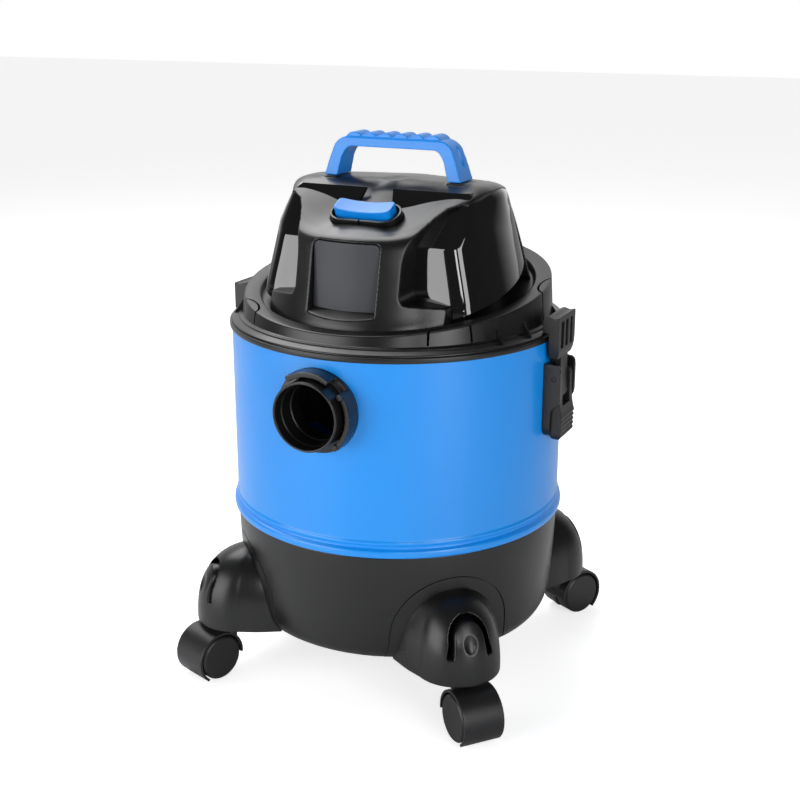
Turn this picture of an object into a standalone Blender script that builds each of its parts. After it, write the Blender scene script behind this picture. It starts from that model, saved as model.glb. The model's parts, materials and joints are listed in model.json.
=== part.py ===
"""Shop vacuum: steel drum on a castered plastic base, lift-off motor head, two side latches.

Metres, +Z up. The origin is on the floor, under the drum's axis. -Y is the front, where the
hose inlet, the label panel and the switch are; the latches are at +X and -X.
An azimuth is measured about the drum's axis from the front (-Y) towards +X.
"""
from math import acos, cos, pi, radians, sin

import bmesh
import bpy
from mathutils import Matrix, Vector

# ---- driving dimensions ---------------------------------------------------------------
GAP = 0.0003                    # air between touching pieces
MERGE = 0.0001                  # largest distance that a modifier may merge over
RIM_STEPS = 48                  # facets of every large turned piece
FINE_STEPS = 20                 # facets of small turned pieces

DRUM_RADIUS = 0.150
DRUM_WALL = 0.0010
DRUM_LOW = 0.152                # where the drum's visible wall starts
DRUM_TOP = 0.3217
SKIRT_LOW = 0.140               # foot of the drum, inside the base
BASE_BOTTOM = 0.050
BASE_TOP = 0.1515
BASE_WALL = 0.0026
COLLAR_RADIUS = 0.152
COLLAR_TOP = 0.3267

LID_FLANGE_RADIUS = 0.1506
LID_FLANGE_LOW = COLLAR_TOP + GAP
DECK_TOP = 0.352                # deck height over the drum's axis
RING_TOP = 0.360
DECK_SLOPE = 0.143              # rise of the deck and the ring per metre towards the back
TILT_START = 0.333              # below this height the lid is level
TILT_FULL = 0.348               # above it the lid follows the slope
INTAKE_RADIUS = 0.062

SHELL_WALL = 0.003
SHELL_TOP = 0.4505
COVER_LIFT = 0.0018             # base of the cover's skin over the deck, so its wall clears it
SHELL_STEPS = 40
FACE_HALF = radians(18.0)       # the front and back profiles hold over this half angle
SIDE_FROM = radians(62.0)       # from here on the side profile holds
WINDOW_CORE = 0.0945            # the side windows cut only outside this radius
DOME_WALL = 0.0025
DOME_SINK = 0.012               # how far a side dome lies under the column's surface

PORT_HEIGHT = 0.278
PORT_RADIUS = 0.0298
PORT_BORE = 0.027
PORT_MOUTH = 0.1725
PORT_BACK = 0.136
PORT_FLANGE = 0.037

STEM_CIRCLE = 0.169             # radius of the circle of caster stems
STEM_RADIUS = 0.005
WHEEL_RADIUS = 0.021
WHEEL_OUT = 0.019               # outer face of a wheel from the caster's middle
WHEEL_IN = 0.0034
TRAIL = 0.021                   # wheel axle behind the stem
HOOD_IN = 0.022
HOOD_OUT = 0.0245
HOOD_TOP = 0.0493
WEB_HALF = 0.003
AXLE_RADIUS = 0.003

LATCH_PIVOT = (0.1585, 0.290)   # radius and height of the lever's trunnions
LATCH_LINK = (0.1580, 0.274)    # radius and height of the hook's pin
LATCH_PIN = 0.002
LATCH_BORE = 0.0023
EAR_OUT = 0.020
EAR_IN = 0.0169
LEVER_HALF = 0.0165
TONGUE_SLOT = 0.0092
TONGUE_HALF = 0.0088
HOOK_HALF = 0.021

SWITCH_AT = (0.0, -0.060, 0.4255)
SWITCH_TILT = radians(26.0)
ROCKER_HALF = 0.008

HANDLE_HALF = 0.0135
HANDLE_FOOT = 0.4508
HANDLE_TOP = 0.4855
RIBS = 6
RIB_PITCH = 0.0152
RIB_RISE = 0.0040

FOOT_NAMES = {"front_right": 45.0, "rear_right": 135.0, "rear_left": -135.0, "front_left": -45.0}
CASTER_HEADING = {"front_right": 50.0, "rear_right": 150.0, "rear_left": -128.0, "front_left": -19.0}
SIDES = {"right": 0.0, "left": pi}


# ---- scene, collections and finishes --------------------------------------------------
for old in list(bpy.data.objects):
    bpy.data.objects.remove(old, do_unlink=True)

parts = bpy.data.collections.new("shop_vacuum")
tools = bpy.data.collections.new("cutters")
bpy.context.scene.collection.children.link(parts)
bpy.context.scene.collection.children.link(tools)


def finish(name, colour, roughness, metallic=0.0):
    """Principled material with one colour, roughness and metallic value."""
    coat = bpy.data.materials.new(name)
    coat.use_nodes = True
    shader = coat.node_tree.nodes["Principled BSDF"]
    shader.inputs["Base Color"].default_value = (*colour, 1.0)
    shader.inputs["Roughness"].default_value = roughness
    shader.inputs["Metallic"].default_value = metallic
    return coat


BLUE_PAINT = finish("blue_paint", (0.035, 0.26, 0.87), 0.30)
BLUE_PLASTIC = finish("blue_plastic", (0.04, 0.27, 0.84), 0.38)
BLACK_PLASTIC = finish("black_plastic", (0.020, 0.020, 0.021), 0.42)
GLOSS_BLACK = finish("gloss_black", (0.006, 0.006, 0.007), 0.07)
SLATE = finish("slate_panel", (0.062, 0.066, 0.076), 0.55)
WHEEL_PLASTIC = finish("wheel_plastic", (0.030, 0.030, 0.032), 0.5)
STEEL = finish("steel", (0.55, 0.55, 0.56), 0.3, 1.0)
RUBBER = finish("seal_rubber", (0.02, 0.02, 0.02), 0.8)
FILTER_PAPER = finish("filter_paper", (0.75, 0.73, 0.66), 0.85)
MOTOR_METAL = finish("motor_metal", (0.42, 0.42, 0.43), 0.4, 1.0)
FLOAT_PLASTIC = finish("float_plastic", (0.70, 0.70, 0.68), 0.5)


# ---- modelling helpers ----------------------------------------------------------------
def place(name, mesh, coat):
    """Put a mesh in the scene: a part where it has a finish, a cutter where it has none."""
    thing = bpy.data.objects.new(name, mesh)
    if coat is None:
        tools.objects.link(thing)
        thing.hide_render = True
        thing.display_type = "WIRE"
    else:
        parts.objects.link(thing)
        mesh.materials.append(coat)
    return thing


def from_form(name, form, coat):
    """Turn a bmesh into a placed object."""
    mesh = bpy.data.meshes.new(name)
    form.to_mesh(mesh)
    form.free()
    return place(name, mesh, coat)


def smooth(thing, angle=35.0):
    """Shade a round piece smooth, with its real corners left sharp."""
    thing.data.shade_smooth()
    thing.data.set_sharp_from_angle(angle=radians(angle))
    return thing


def block(name, low, high, coat=None, rows=1, pitch=(0.0, 0.0, 0.0)):
    """A box between two corners, or a row of equal boxes at a pitch."""
    form = bmesh.new()
    size = [b - a for a, b in zip(low, high)]
    centre = [(a + b) / 2 for a, b in zip(low, high)]
    for row in range(rows):
        shift = Vector(centre) + Vector(pitch) * row
        place_at = Matrix.Translation(shift) @ Matrix.Diagonal((*size, 1.0))
        bmesh.ops.create_cube(form, size=1.0, matrix=place_at)
    return from_form(name, form, coat)


AXIS_TURN = {
    "X": Matrix.Rotation(pi / 2, 4, "Y"),
    "Y": Matrix.Rotation(-pi / 2, 4, "X"),
    "Z": Matrix.Identity(4),
}


def rod(name, axis, radius, start, end, at=(0.0, 0.0, 0.0), coat=None, steps=FINE_STEPS, phase=0.0):
    """A cylinder along a named axis, from start to end along it, through the point at."""
    form = bmesh.new()
    turn = AXIS_TURN[axis] @ Matrix.Rotation(phase, 4, "Z")
    middle = Matrix.Translation((0.0, 0.0, (start + end) / 2))
    bmesh.ops.create_cone(form, cap_ends=True, segments=steps, radius1=radius, radius2=radius,
                          depth=end - start, matrix=Matrix.Translation(at) @ turn @ middle)
    thing = from_form(name, form, coat)
    return smooth(thing)


def turned(name, profile, coat=None, steps=FINE_STEPS):
    """Solid of revolution about Z. The profile (radius, height) runs down its outer side."""
    form = bmesh.new()
    points = [form.verts.new((radius, 0.0, height)) for radius, height in profile]
    for first, second in zip(points, points[1:]):
        form.edges.new((first, second))
    if profile[0][0] > 0.0:
        form.edges.new((points[-1], points[0]))
    thing = from_form(name, form, coat)
    spin = thing.modifiers.new("turn", "SCREW")
    spin.steps = steps
    spin.render_steps = steps
    spin.use_merge_vertices = True
    spin.merge_threshold = MERGE
    return thing


def settled(thing):
    """Apply an object's modifiers, so that its vertices can be moved."""
    bpy.context.view_layer.update()
    seen = thing.evaluated_get(bpy.context.evaluated_depsgraph_get())
    mesh = bpy.data.meshes.new_from_object(seen)
    thing.modifiers.clear()
    thing.data = mesh
    return thing


def plate(name, outline, half, coat=None, plane="XZ"):
    """A flat outline as a filled 2D curve, extruded to both sides and made a welded mesh."""
    curve = bpy.data.curves.new(name, "CURVE")
    curve.dimensions = "2D"
    curve.fill_mode = "BOTH"
    curve.extrude = half
    line = curve.splines.new("POLY")
    line.points.add(len(outline) - 1)
    for point, (across, up) in zip(line.points, outline):
        point.co = (across, up, 0.0, 1.0)
    line.use_cyclic_u = True
    drawn = bpy.data.objects.new(name + "_curve", curve)
    tools.objects.link(drawn)
    bpy.context.view_layer.update()
    seen = drawn.evaluated_get(bpy.context.evaluated_depsgraph_get())
    form = bmesh.new()
    raw = bpy.data.meshes.new_from_object(seen)
    form.from_mesh(raw)
    bpy.data.objects.remove(drawn, do_unlink=True)
    bpy.data.meshes.remove(raw)
    bmesh.ops.remove_doubles(form, verts=form.verts, dist=MERGE / 2)
    if plane == "XZ":
        bmesh.ops.rotate(form, verts=form.verts, matrix=Matrix.Rotation(pi / 2, 3, "X"))
    bmesh.ops.recalc_face_normals(form, faces=form.faces)
    return from_form(name, form, coat)


def lofted(name, rings, coat=None, wrap=True, caps=True):
    """A skin over rings of equally many points, bottom ring first, closed or left open."""
    form = bmesh.new()
    rows = [[form.verts.new(point) for point in ring] for ring in rings]
    count = len(rows[0])
    for low, high in zip(rows, rows[1:]):
        for i in range(count if wrap else count - 1):
            j = (i + 1) % count
            form.faces.new((low[i], low[j], high[j], high[i]))
    if caps:
        form.faces.new(tuple(reversed(rows[0])))
    if wrap:
        form.faces.new(tuple(rows[-1]))
    return from_form(name, form, coat)


def boolean(target, tool, operation="DIFFERENCE"):
    """Cut, join or trim a part with a tool, which keeps its own place."""
    step = target.modifiers.new(tool.name, "BOOLEAN")
    step.operation = operation
    step.object = tool
    step.solver = "EXACT"
    return target


def thicken(thing, wall):
    """Give an open skin its wall, inwards from the drawn surface."""
    shell = thing.modifiers.new("wall", "SOLIDIFY")
    shell.thickness = wall
    shell.offset = -1.0
    return thing


def arc(centre, radius, start, end, count):
    """Points along a circular arc, in degrees, both ends included."""
    step = (end - start) / (count - 1)
    angles = [radians(start + step * i) for i in range(count)]
    return [(centre[0] + radius * cos(a), centre[1] + radius * sin(a)) for a in angles]


def turn_about_z(things, angle):
    """Turn finished objects and their tools about the drum's axis."""
    for thing in things:
        thing.rotation_euler.z = angle


def heading(azimuth):
    """World turn that takes local +X to an azimuth in degrees."""
    return radians(azimuth - 90.0)


# ---- tank: drum, base, collar ---------------------------------------------------------
BASE_OUTSIDE = [(0.150, BASE_TOP), (0.1485, 0.110), (0.1458, 0.072), (0.1430, 0.060), (0.136, BASE_BOTTOM)]


def make_base():
    """Deep plastic tub that carries the drum."""
    inside = [(radius - BASE_WALL, height) for radius, height in BASE_OUTSIDE[:-1]]
    floor = BASE_BOTTOM + BASE_WALL
    profile = [(0.0, floor), (0.1345, floor), *reversed(inside), *BASE_OUTSIDE, (0.0, BASE_BOTTOM)]
    return smooth(turned("tank_base", profile, BLACK_PLASTIC, RIM_STEPS))


def make_drum():
    """Steel drum: it rests on the base's rim, and its skirt steps in and stands inside the base."""
    outside = [(DRUM_RADIUS, DRUM_TOP), (DRUM_RADIUS, 0.1585), (0.1535, 0.1565), (0.1535, DRUM_LOW),
               (0.1465, DRUM_LOW), (0.1462, SKIRT_LOW)]
    inside = [(0.1452, SKIRT_LOW), (0.1455, 0.1515), (DRUM_RADIUS - DRUM_WALL, 0.158),
              (DRUM_RADIUS - DRUM_WALL, DRUM_TOP)]
    drum = smooth(turned("tank_drum", [*outside, *inside], BLUE_PAINT, RIM_STEPS))
    at = (0.0, 0.0, PORT_HEIGHT)
    boolean(drum, rod("port_opening", "Y", PORT_RADIUS + GAP, -0.20, -0.10, at=at, steps=32))


def make_collar():
    """Black rim band, with a lip down inside the drum."""
    lip = DRUM_RADIUS - DRUM_WALL - GAP
    seat = DRUM_TOP + GAP
    profile = [(COLLAR_RADIUS, COLLAR_TOP), (COLLAR_RADIUS, seat), (lip, seat), (lip, 0.312),
               (0.1468, 0.312), (0.1468, COLLAR_TOP)]
    return smooth(turned("rim_collar", profile, BLACK_PLASTIC, RIM_STEPS))


# ---- inlet ----------------------------------------------------------------------------
def make_inlet():
    """Hose inlet through the drum's front, its nut and the deflector inside."""
    at = (0.0, 0.0, PORT_HEIGHT)
    profile = [(PORT_RADIUS, PORT_MOUTH), (PORT_RADIUS, 0.1585), (PORT_FLANGE, 0.1585),
               (PORT_FLANGE, 0.146), (PORT_RADIUS, 0.146), (PORT_RADIUS, PORT_BACK),
               (PORT_BORE, PORT_BACK), (PORT_BORE, PORT_MOUTH)]
    port = turned("inlet_port", profile, BLACK_PLASTIC, 32)
    port = smooth(settled(port))
    port.data.transform(Matrix.Translation(at) @ Matrix.Rotation(pi / 2, 4, "X"))
    neck_side = rod("inlet_shell_trim", "Z", DRUM_RADIUS + GAP, 0.20, 0.36, steps=RIM_STEPS)
    neck_hole = rod("inlet_neck_keep", "Y", PORT_RADIUS, -0.20, -0.10, at=at, steps=32)
    boolean(neck_side, neck_hole)
    boolean(port, neck_side)

    nut = rod("inlet_nut", "Y", 0.0345, -0.1443, -0.1385, at=at, coat=BLACK_PLASTIC, steps=12)
    nut.data.shade_flat()
    boolean(nut, rod("inlet_nut_bore", "Y", PORT_RADIUS + GAP, -0.15, -0.13, at=at, steps=32))

    back = -PORT_BACK + GAP
    hood = block("inlet_deflector", (-0.036, back, 0.248), (0.036, -0.100, 0.314), BLACK_PLASTIC)
    boolean(hood, block("deflector_hollow", (-0.034, back + 0.002, 0.24), (0.034, -0.102, 0.312)))
    boolean(hood, rod("deflector_mouth", "Y", PORT_BORE, -0.15, -0.12, at=at, steps=32))


# ---- feet and casters -----------------------------------------------------------------
FOOT_HEIGHT = 0.070
FOOT_LEVELS = 6
FOOT_FOCUS = 0.138


def foot_outline():
    """Half-round nose that widens towards the base, in the foot's radial frame."""
    nose = arc((0.1577, 0.0), 0.0377, -78.0, 78.0, 11)
    return [(0.130, -0.048), (0.150, -0.043), *nose, (0.150, 0.043), (0.130, 0.048)]


def make_foot(name, azimuth, base_space):
    """Domed foot on the base's side, with the caster's socket in it."""
    rings = []
    for level in range(FOOT_LEVELS + 1):
        rise = level / FOOT_LEVELS * 0.985
        shrink = (1.0 - rise ** 2.6) ** (1 / 2.2)
        height = BASE_BOTTOM + FOOT_HEIGHT * rise
        rings.append([(FOOT_FOCUS + (x - FOOT_FOCUS) * shrink, y * shrink, height)
                      for x, y in foot_outline()])
    foot = smooth(lofted("foot_" + name, rings, BLACK_PLASTIC), 50.0)
    socket = rod("foot_socket_" + name, "Z", STEM_RADIUS + GAP, 0.04, 0.0885,
                 at=(STEM_CIRCLE, 0.0, 0.0), steps=16)
    turn_about_z((foot, socket), heading(azimuth))
    boolean(foot, base_space)
    boolean(foot, socket)


def hood_gap_outline():
    """What is left open under a caster's hood: an arc under the wheels and the web's foot."""
    inner = arc((0.0, 0.0), HOOD_IN - 0.0001, 185.0, 225.0, 4)
    outer = arc((0.0, 0.0), 0.040, 310.0, 185.0, 4)
    end = (HOOD_IN * cos(radians(310.0)), HOOD_IN * sin(radians(310.0)))
    return [*inner, end, *outer]


def make_caster(name, azimuth):
    """Twin-wheel caster under a foot: hood, stem, axle and two wheels on a swivel empty."""
    place_at = heading(azimuth)
    swivel = bpy.data.objects.new("swivel_" + name, None)
    swivel.location = (STEM_CIRCLE * cos(place_at), STEM_CIRCLE * sin(place_at), 0.0)
    swivel.rotation_euler.z = heading(CASTER_HEADING[name])
    parts.objects.link(swivel)
    hub = (TRAIL, 0.0, WHEEL_RADIUS)

    hood = rod("caster_hood_" + name, "Y", HOOD_OUT, -0.0185, 0.0185, at=hub,
               coat=WHEEL_PLASTIC, steps=FINE_STEPS)
    boss = rod("boss_" + name, "Z", 0.009, 0.030, HOOD_TOP, steps=16)
    boolean(hood, boss, "UNION")
    pocket = rod("pocket_" + name, "Y", HOOD_IN, WEB_HALF, 0.03, at=hub)
    other = rod("other_pocket_" + name, "Y", HOOD_IN, -0.03, -WEB_HALF, at=hub)
    opening = plate("hood_opening_" + name, hood_gap_outline(), 0.03)
    opening.data.transform(Matrix.Translation(hub))
    bore = rod("stem_bore_" + name, "Z", STEM_RADIUS + GAP, 0.0365, 0.06, steps=16)
    axle_bore = rod("axle_bore_" + name, "Y", AXLE_RADIUS + GAP, -0.01, 0.01, at=hub, steps=12)
    for tool in (pocket, other, opening, bore, axle_bore):
        boolean(hood, tool)

    stem = rod("caster_stem_" + name, "Z", STEM_RADIUS, 0.037, 0.088, coat=STEEL, steps=16)
    axle = rod("caster_axle_" + name, "Y", AXLE_RADIUS, -0.0147, 0.0147, at=hub, coat=STEEL, steps=12)
    for thing in (hood, boss, pocket, other, opening, bore, axle_bore, stem, axle):
        thing.parent = swivel

    bore_radius = AXLE_RADIUS + GAP
    tyre = [(0.0, WHEEL_OUT), (0.0192, WHEEL_OUT), (WHEEL_RADIUS, 0.0173), (WHEEL_RADIUS, WHEEL_IN),
            (bore_radius, WHEEL_IN), (bore_radius, 0.015), (0.0, 0.015)]
    for hand, turn in (("a", -pi / 2), ("b", pi / 2)):
        wheel = smooth(turned("wheel_" + name + "_" + hand, tyre, WHEEL_PLASTIC, 20))
        wheel.location = hub
        wheel.rotation_euler.x = turn
        wheel.parent = swivel


# ---- latches --------------------------------------------------------------------------
def make_latch(side, turn, drum_space):
    """Draw latch: bracket on the drum, lever on two moulded trunnions, hook on a steel pin."""
    pivot = (LATCH_PIVOT[0], 0.0, LATCH_PIVOT[1])
    link = (LATCH_LINK[0], 0.0, LATCH_LINK[1])

    bracket = block("latch_bracket_" + side, (0.145, -EAR_OUT, 0.236), (0.1645, EAR_OUT, 0.303),
                    BLACK_PLASTIC)
    channel = block("bracket_channel_" + side, (0.1535, -EAR_IN, 0.23), (0.18, EAR_IN, 0.31))
    low_cut = block("bracket_low_cut_" + side, (0.1562, -0.03, 0.22), (0.18, 0.03, 0.262))
    ear_bore = rod("ear_bore_" + side, "Y", LATCH_BORE, -0.03, 0.03, at=pivot, steps=12)
    for tool in (channel, low_cut, ear_bore, drum_space):
        boolean(bracket, tool)

    top = arc(LATCH_PIVOT, 0.0046, 0.0, 180.0, 7)
    outline = [*top, (0.1539, 0.262), (0.1545, 0.238), (0.1575, 0.2335), (0.1625, 0.2345),
               (0.1662, 0.241), (0.1655, 0.256), (0.1635, 0.266)]
    lever = plate("latch_lever_" + side, outline, LEVER_HALF, BLACK_PLASTIC)
    slot = block("lever_slot_" + side, (0.14, -TONGUE_SLOT, 0.264), (0.18, TONGUE_SLOT, 0.30))
    near_stub = rod("near_trunnion_" + side, "Y", LATCH_PIN, -0.0197, -0.012, at=pivot, steps=12)
    far_stub = rod("far_trunnion_" + side, "Y", LATCH_PIN, 0.012, 0.0197, at=pivot, steps=12)
    link_bore = rod("lever_link_bore_" + side, "Y", LATCH_BORE, -0.03, 0.03, at=link, steps=12)
    boolean(lever, near_stub, "UNION")
    boolean(lever, far_stub, "UNION")
    boolean(lever, slot)
    boolean(lever, link_bore)
    link_pin = rod("latch_link_pin_" + side, "Y", LATCH_PIN, -0.0162, 0.0162, at=link, coat=STEEL, steps=12)

    head = [(0.1469, 0.343), (0.1469, 0.3305), (0.1524, 0.3295), (0.1524, 0.306), (0.1605, 0.306),
            (0.162, 0.312), (0.162, 0.343), (0.158, 0.3455), (0.150, 0.3455)]
    hook = plate("latch_hook_" + side, head, HOOK_HALF, BLACK_PLASTIC)
    eye = arc(LATCH_LINK, 0.0038, 180.0, 360.0, 7)
    blade = [(0.1605, 0.290), (0.1605, 0.312), (0.1545, 0.312), (0.1545, 0.290)]
    tongue = plate("hook_tongue_" + side, [*eye, *blade], TONGUE_HALF)
    slits = block("hook_slits_" + side, (0.1595, -0.0145, 0.318), (0.17, -0.0085, 0.340), rows=3,
                  pitch=(0.0, 0.0115, 0.0))
    hook_bore = rod("hook_bore_" + side, "Y", LATCH_BORE, -0.03, 0.03, at=link, steps=12)
    boolean(hook, tongue, "UNION")
    boolean(hook, slits)
    boolean(hook, hook_bore)

    turn_about_z((bracket, channel, low_cut, ear_bore, lever, near_stub, far_stub, slot, link_bore,
                  link_pin, hook, tongue, slits, hook_bore), turn)


# ---- lid ------------------------------------------------------------------------------
def make_lid():
    """Lid: flange, tilted ring and deck, locating skirt, and a foam seal on the skirt."""
    profile = [(0.1386, RING_TOP), (0.1402, 0.3315), (LID_FLANGE_RADIUS, 0.3283),
               (LID_FLANGE_RADIUS, LID_FLANGE_LOW), (0.1446, LID_FLANGE_LOW), (0.1440, 0.3135),
               (0.1415, 0.3135), (0.1375, 0.3285), (0.1362, 0.3572), (0.1265, 0.3572),
               (0.126, DECK_TOP - 0.003), (INTAKE_RADIUS, DECK_TOP - 0.003), (INTAKE_RADIUS, DECK_TOP),
               (0.1235, DECK_TOP), (0.124, RING_TOP)]
    lid = settled(turned("head_lid", profile, BLACK_PLASTIC, RIM_STEPS))
    for vertex in lid.data.vertices:
        share = (vertex.co.z - TILT_START) / (TILT_FULL - TILT_START)
        vertex.co.z += DECK_SLOPE * vertex.co.y * min(max(share, 0.0), 1.0)
    smooth(lid)
    for side, turn in SIDES.items():
        notch = block("lid_notch_" + side, (0.1463, -0.0225, 0.32), (0.17, 0.0225, 0.34))
        turn_about_z((notch,), turn)
        boolean(lid, notch)

    seal = [(0.1465, 0.3264), (0.1465, 0.3145), (0.1449, 0.3145), (0.1449, 0.3264)]
    smooth(turned("lid_gasket", seal, RUBBER, RIM_STEPS))


# ---- head shell -----------------------------------------------------------------------
# Outer surface of the motor cover at the front, the side and the back, base to crown.
FRONT = [(0.1195, 0.336), (0.1135, 0.352), (0.1085, 0.375), (0.104, 0.398), (0.099, 0.4105),
         (0.087, 0.4158), (0.074, 0.420), (0.060, 0.4256), (0.044, 0.4335), (0.028, 0.443),
         (0.012, 0.4492)]
SIDE = [(0.1205, 0.353), (0.117, 0.368), (0.111, 0.392), (0.106, 0.413), (0.102, 0.430),
        (0.098, 0.4425), (0.089, 0.4482), (0.074, 0.4494), (0.054, 0.4497), (0.034, 0.4501),
        (0.012, SHELL_TOP)]
BACK = [(0.1205, 0.370), (0.117, 0.380), (0.112, 0.394), (0.106, 0.408), (0.099, 0.420),
        (0.090, 0.430), (0.077, 0.4385), (0.062, 0.4445), (0.045, 0.4483), (0.028, 0.4498),
        (0.012, SHELL_TOP)]


def shell_point(level, azimuth, inwards=0.0):
    """Point on the cover's surface at a level of the three profiles and an azimuth in radians."""
    face = FRONT if cos(azimuth) > 0.0 else BACK
    off_axis = acos(min(1.0, abs(cos(azimuth))))
    turn = min(max((off_axis - FACE_HALF) / (SIDE_FROM - FACE_HALF), 0.0), 1.0)
    share = turn * turn * (3 - 2 * turn)
    radius = face[level][0] * (1 - share) + SIDE[level][0] * share
    height = face[level][1] * (1 - share) + SIDE[level][1] * share
    if level == 0:
        height = DECK_TOP + COVER_LIFT - DECK_SLOPE * radius * cos(azimuth)
    radius -= inwards
    return (radius * sin(azimuth), -radius * cos(azimuth), height)


def shell_rings(inwards=0.0):
    """Rings of points over the whole motor cover."""
    angles = [2 * pi * step / SHELL_STEPS for step in range(SHELL_STEPS)]
    return [[shell_point(level, angle, inwards) for angle in angles] for level in range(len(FRONT))]


def window_outline():
    """Side window of the cover in (y, z): column edge, arch and rear step."""
    return [(-0.083, 0.325), (-0.083, 0.357), (-0.0905, 0.361), (-0.0925, 0.366), (-0.0915, 0.405),
            (-0.0865, 0.419), (-0.078, 0.430), (-0.066, 0.4375), (-0.040, 0.4435), (-0.010, 0.446),
            (0.022, 0.446), (0.027, 0.439), (0.046, 0.436), (0.050, 0.420), (0.054, 0.372), (0.054, 0.325)]


def make_cover():
    """Motor cover with side windows, label opening, switch opening and rear outlets."""
    cover = lofted("motor_cover", shell_rings(), BLACK_PLASTIC, caps=False)
    smooth(thicken(cover, SHELL_WALL), 50.0)
    core = rod("window_core", "Z", WINDOW_CORE, 0.30, 0.50, steps=SHELL_STEPS)
    for side, sign in (("right", 1.0), ("left", -1.0)):
        window = plate("window_" + side, window_outline(), 0.060, plane="flat")
        upright = Matrix(((0, 0, 1, 0), (1, 0, 0, 0), (0, 1, 0, 0), (0, 0, 0, 1)))
        window.data.transform(Matrix.Translation((sign * 0.090, 0.0, 0.0)) @ upright)
        boolean(window, core)
        boolean(cover, window)
    opening = block("label_opening", (-0.0315, -0.14, 0.3465), (0.0315, -0.07, 0.409))
    boolean(cover, opening)

    panel = lofted("label_panel", shell_rings(0.0012), SLATE, caps=False)
    smooth(thicken(panel, 0.0018), 50.0)
    boolean(panel, block("label_keep", (-0.031, -0.14, 0.347), (0.031, -0.07, 0.4085)), "INTERSECT")
    return cover


# Surface of the glossy side domes, bottom to top.
DOME = [(0.1175, 0.3575), (0.1157, 0.366), (0.1105, 0.3785), (0.106, 0.396), (0.102, 0.412),
        (0.097, 0.4205), (0.090, 0.4275), (0.078, 0.435)]
DOME_DROP = 0.34                # share of its height that a dome loses at the front column
DOME_STEPS = 14
DOME_START = radians(22.0)
DOME_END = radians(128.0)


def make_side_dome(side, sign):
    """Glossy dome that closes the cover's side window from inside."""
    rings = []
    for radius, height in DOME:
        ring = []
        for step in range(DOME_STEPS + 1):
            angle = DOME_START + (DOME_END - DOME_START) * step / DOME_STEPS
            edge = max(0.0, 1.0 - (angle - DOME_START) / radians(38.0))
            rear = max(0.0, (angle - radians(98.0)) / radians(30.0))
            reach = radius - DOME_SINK * (edge ** 1.1 + 0.7 * min(rear, 1.0))
            deck = DECK_TOP + COVER_LIFT - DECK_SLOPE * reach * cos(angle)
            squat = 1.0 - DOME_DROP * edge ** 0.8 - 0.25 * min(rear, 1.0)
            low = DOME[0][1]
            level = max(low + (height - low) * squat, deck)
            ring.append((sign * reach * sin(angle), -reach * cos(angle), level))
        rings.append(ring if sign > 0 else list(reversed(ring)))
    dome = lofted("side_dome_" + side, rings, GLOSS_BLACK, wrap=False, caps=False)
    smooth(thicken(dome, DOME_WALL), 60.0)


# ---- handle and switch ----------------------------------------------------------------
def handle_outline():
    """Arch of the carrying handle, with finger ribs along the top."""
    top = []
    half_row = RIBS * RIB_PITCH / 2
    for rib in range(RIBS):
        for part in range(4):
            x = -half_row + (rib + part / 4) * RIB_PITCH
            top.append((x, HANDLE_TOP + RIB_RISE * sin(pi * part / 4)))
    top.append((half_row, HANDLE_TOP))
    outer = [(-0.0665, HANDLE_FOOT), (-0.0605, 0.470), (-0.056, 0.480), (-0.050, 0.4845)]
    inner = [(0.0535, HANDLE_FOOT), (0.0485, 0.470), (0.043, 0.4765)]
    mirror_outer = [(-x, z) for x, z in reversed(outer)]
    mirror_inner = [(-x, z) for x, z in reversed(inner)]
    return [*outer, *top, *mirror_outer, *inner, *mirror_inner]


def make_handle():
    """Blue carrying handle."""
    handle = plate("carry_handle", handle_outline(), HANDLE_HALF, BLUE_PLASTIC)
    edge = handle.modifiers.new("edge", "BEVEL")
    edge.width = 0.003
    edge.segments = 2
    edge.limit_method = "ANGLE"
    edge.angle_limit = radians(60.0)
    smooth(handle, 40.0)


def stadium(name, half_long, half_short, low, high, coat=None):
    """An upright block with round ends, in the switch's own frame."""
    reach = half_long - half_short
    outline = [*arc((reach, 0.0), half_short, -90.0, 90.0, 9),
               *arc((-reach, 0.0), half_short, 90.0, 270.0, 9)]
    thing = plate(name, outline, (high - low) / 2, coat, plane="flat")
    thing.data.transform(Matrix.Translation((0.0, 0.0, (low + high) / 2)))
    thing.location = SWITCH_AT
    thing.rotation_euler.x = SWITCH_TILT
    return thing


def make_switch(cover):
    """Round-ended bezel set into the cover's front slope, with a rocker that tips sideways."""
    boolean(cover, stadium("switch_opening", 0.0333, 0.0148, -0.02, 0.02))
    bezel = stadium("switch_bezel", 0.033, 0.0145, -0.011, 0.0045, BLACK_PLASTIC)
    boolean(bezel, stadium("bezel_hollow", 0.0305, 0.0122, -0.0085, 0.02))

    crown = arc((0.0, 0.1315), 0.123, 257.8, 282.2, 9)
    sides = [(0.0272, 0.0112), (0.0262, -0.001), (0.006, -0.0035), (-0.006, -0.0035),
             (-0.0262, -0.001), (-0.0272, 0.0112)]
    rocker = plate("switch_rocker", [*crown, *sides], ROCKER_HALF, BLUE_PLASTIC)
    edge = rocker.modifiers.new("edge", "BEVEL")
    edge.width = 0.0022
    edge.segments = 2
    edge.limit_method = "ANGLE"
    edge.angle_limit = radians(50.0)
    smooth(rocker, 40.0)
    rocker.location = SWITCH_AT
    rocker.rotation_euler.x = SWITCH_TILT


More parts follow.
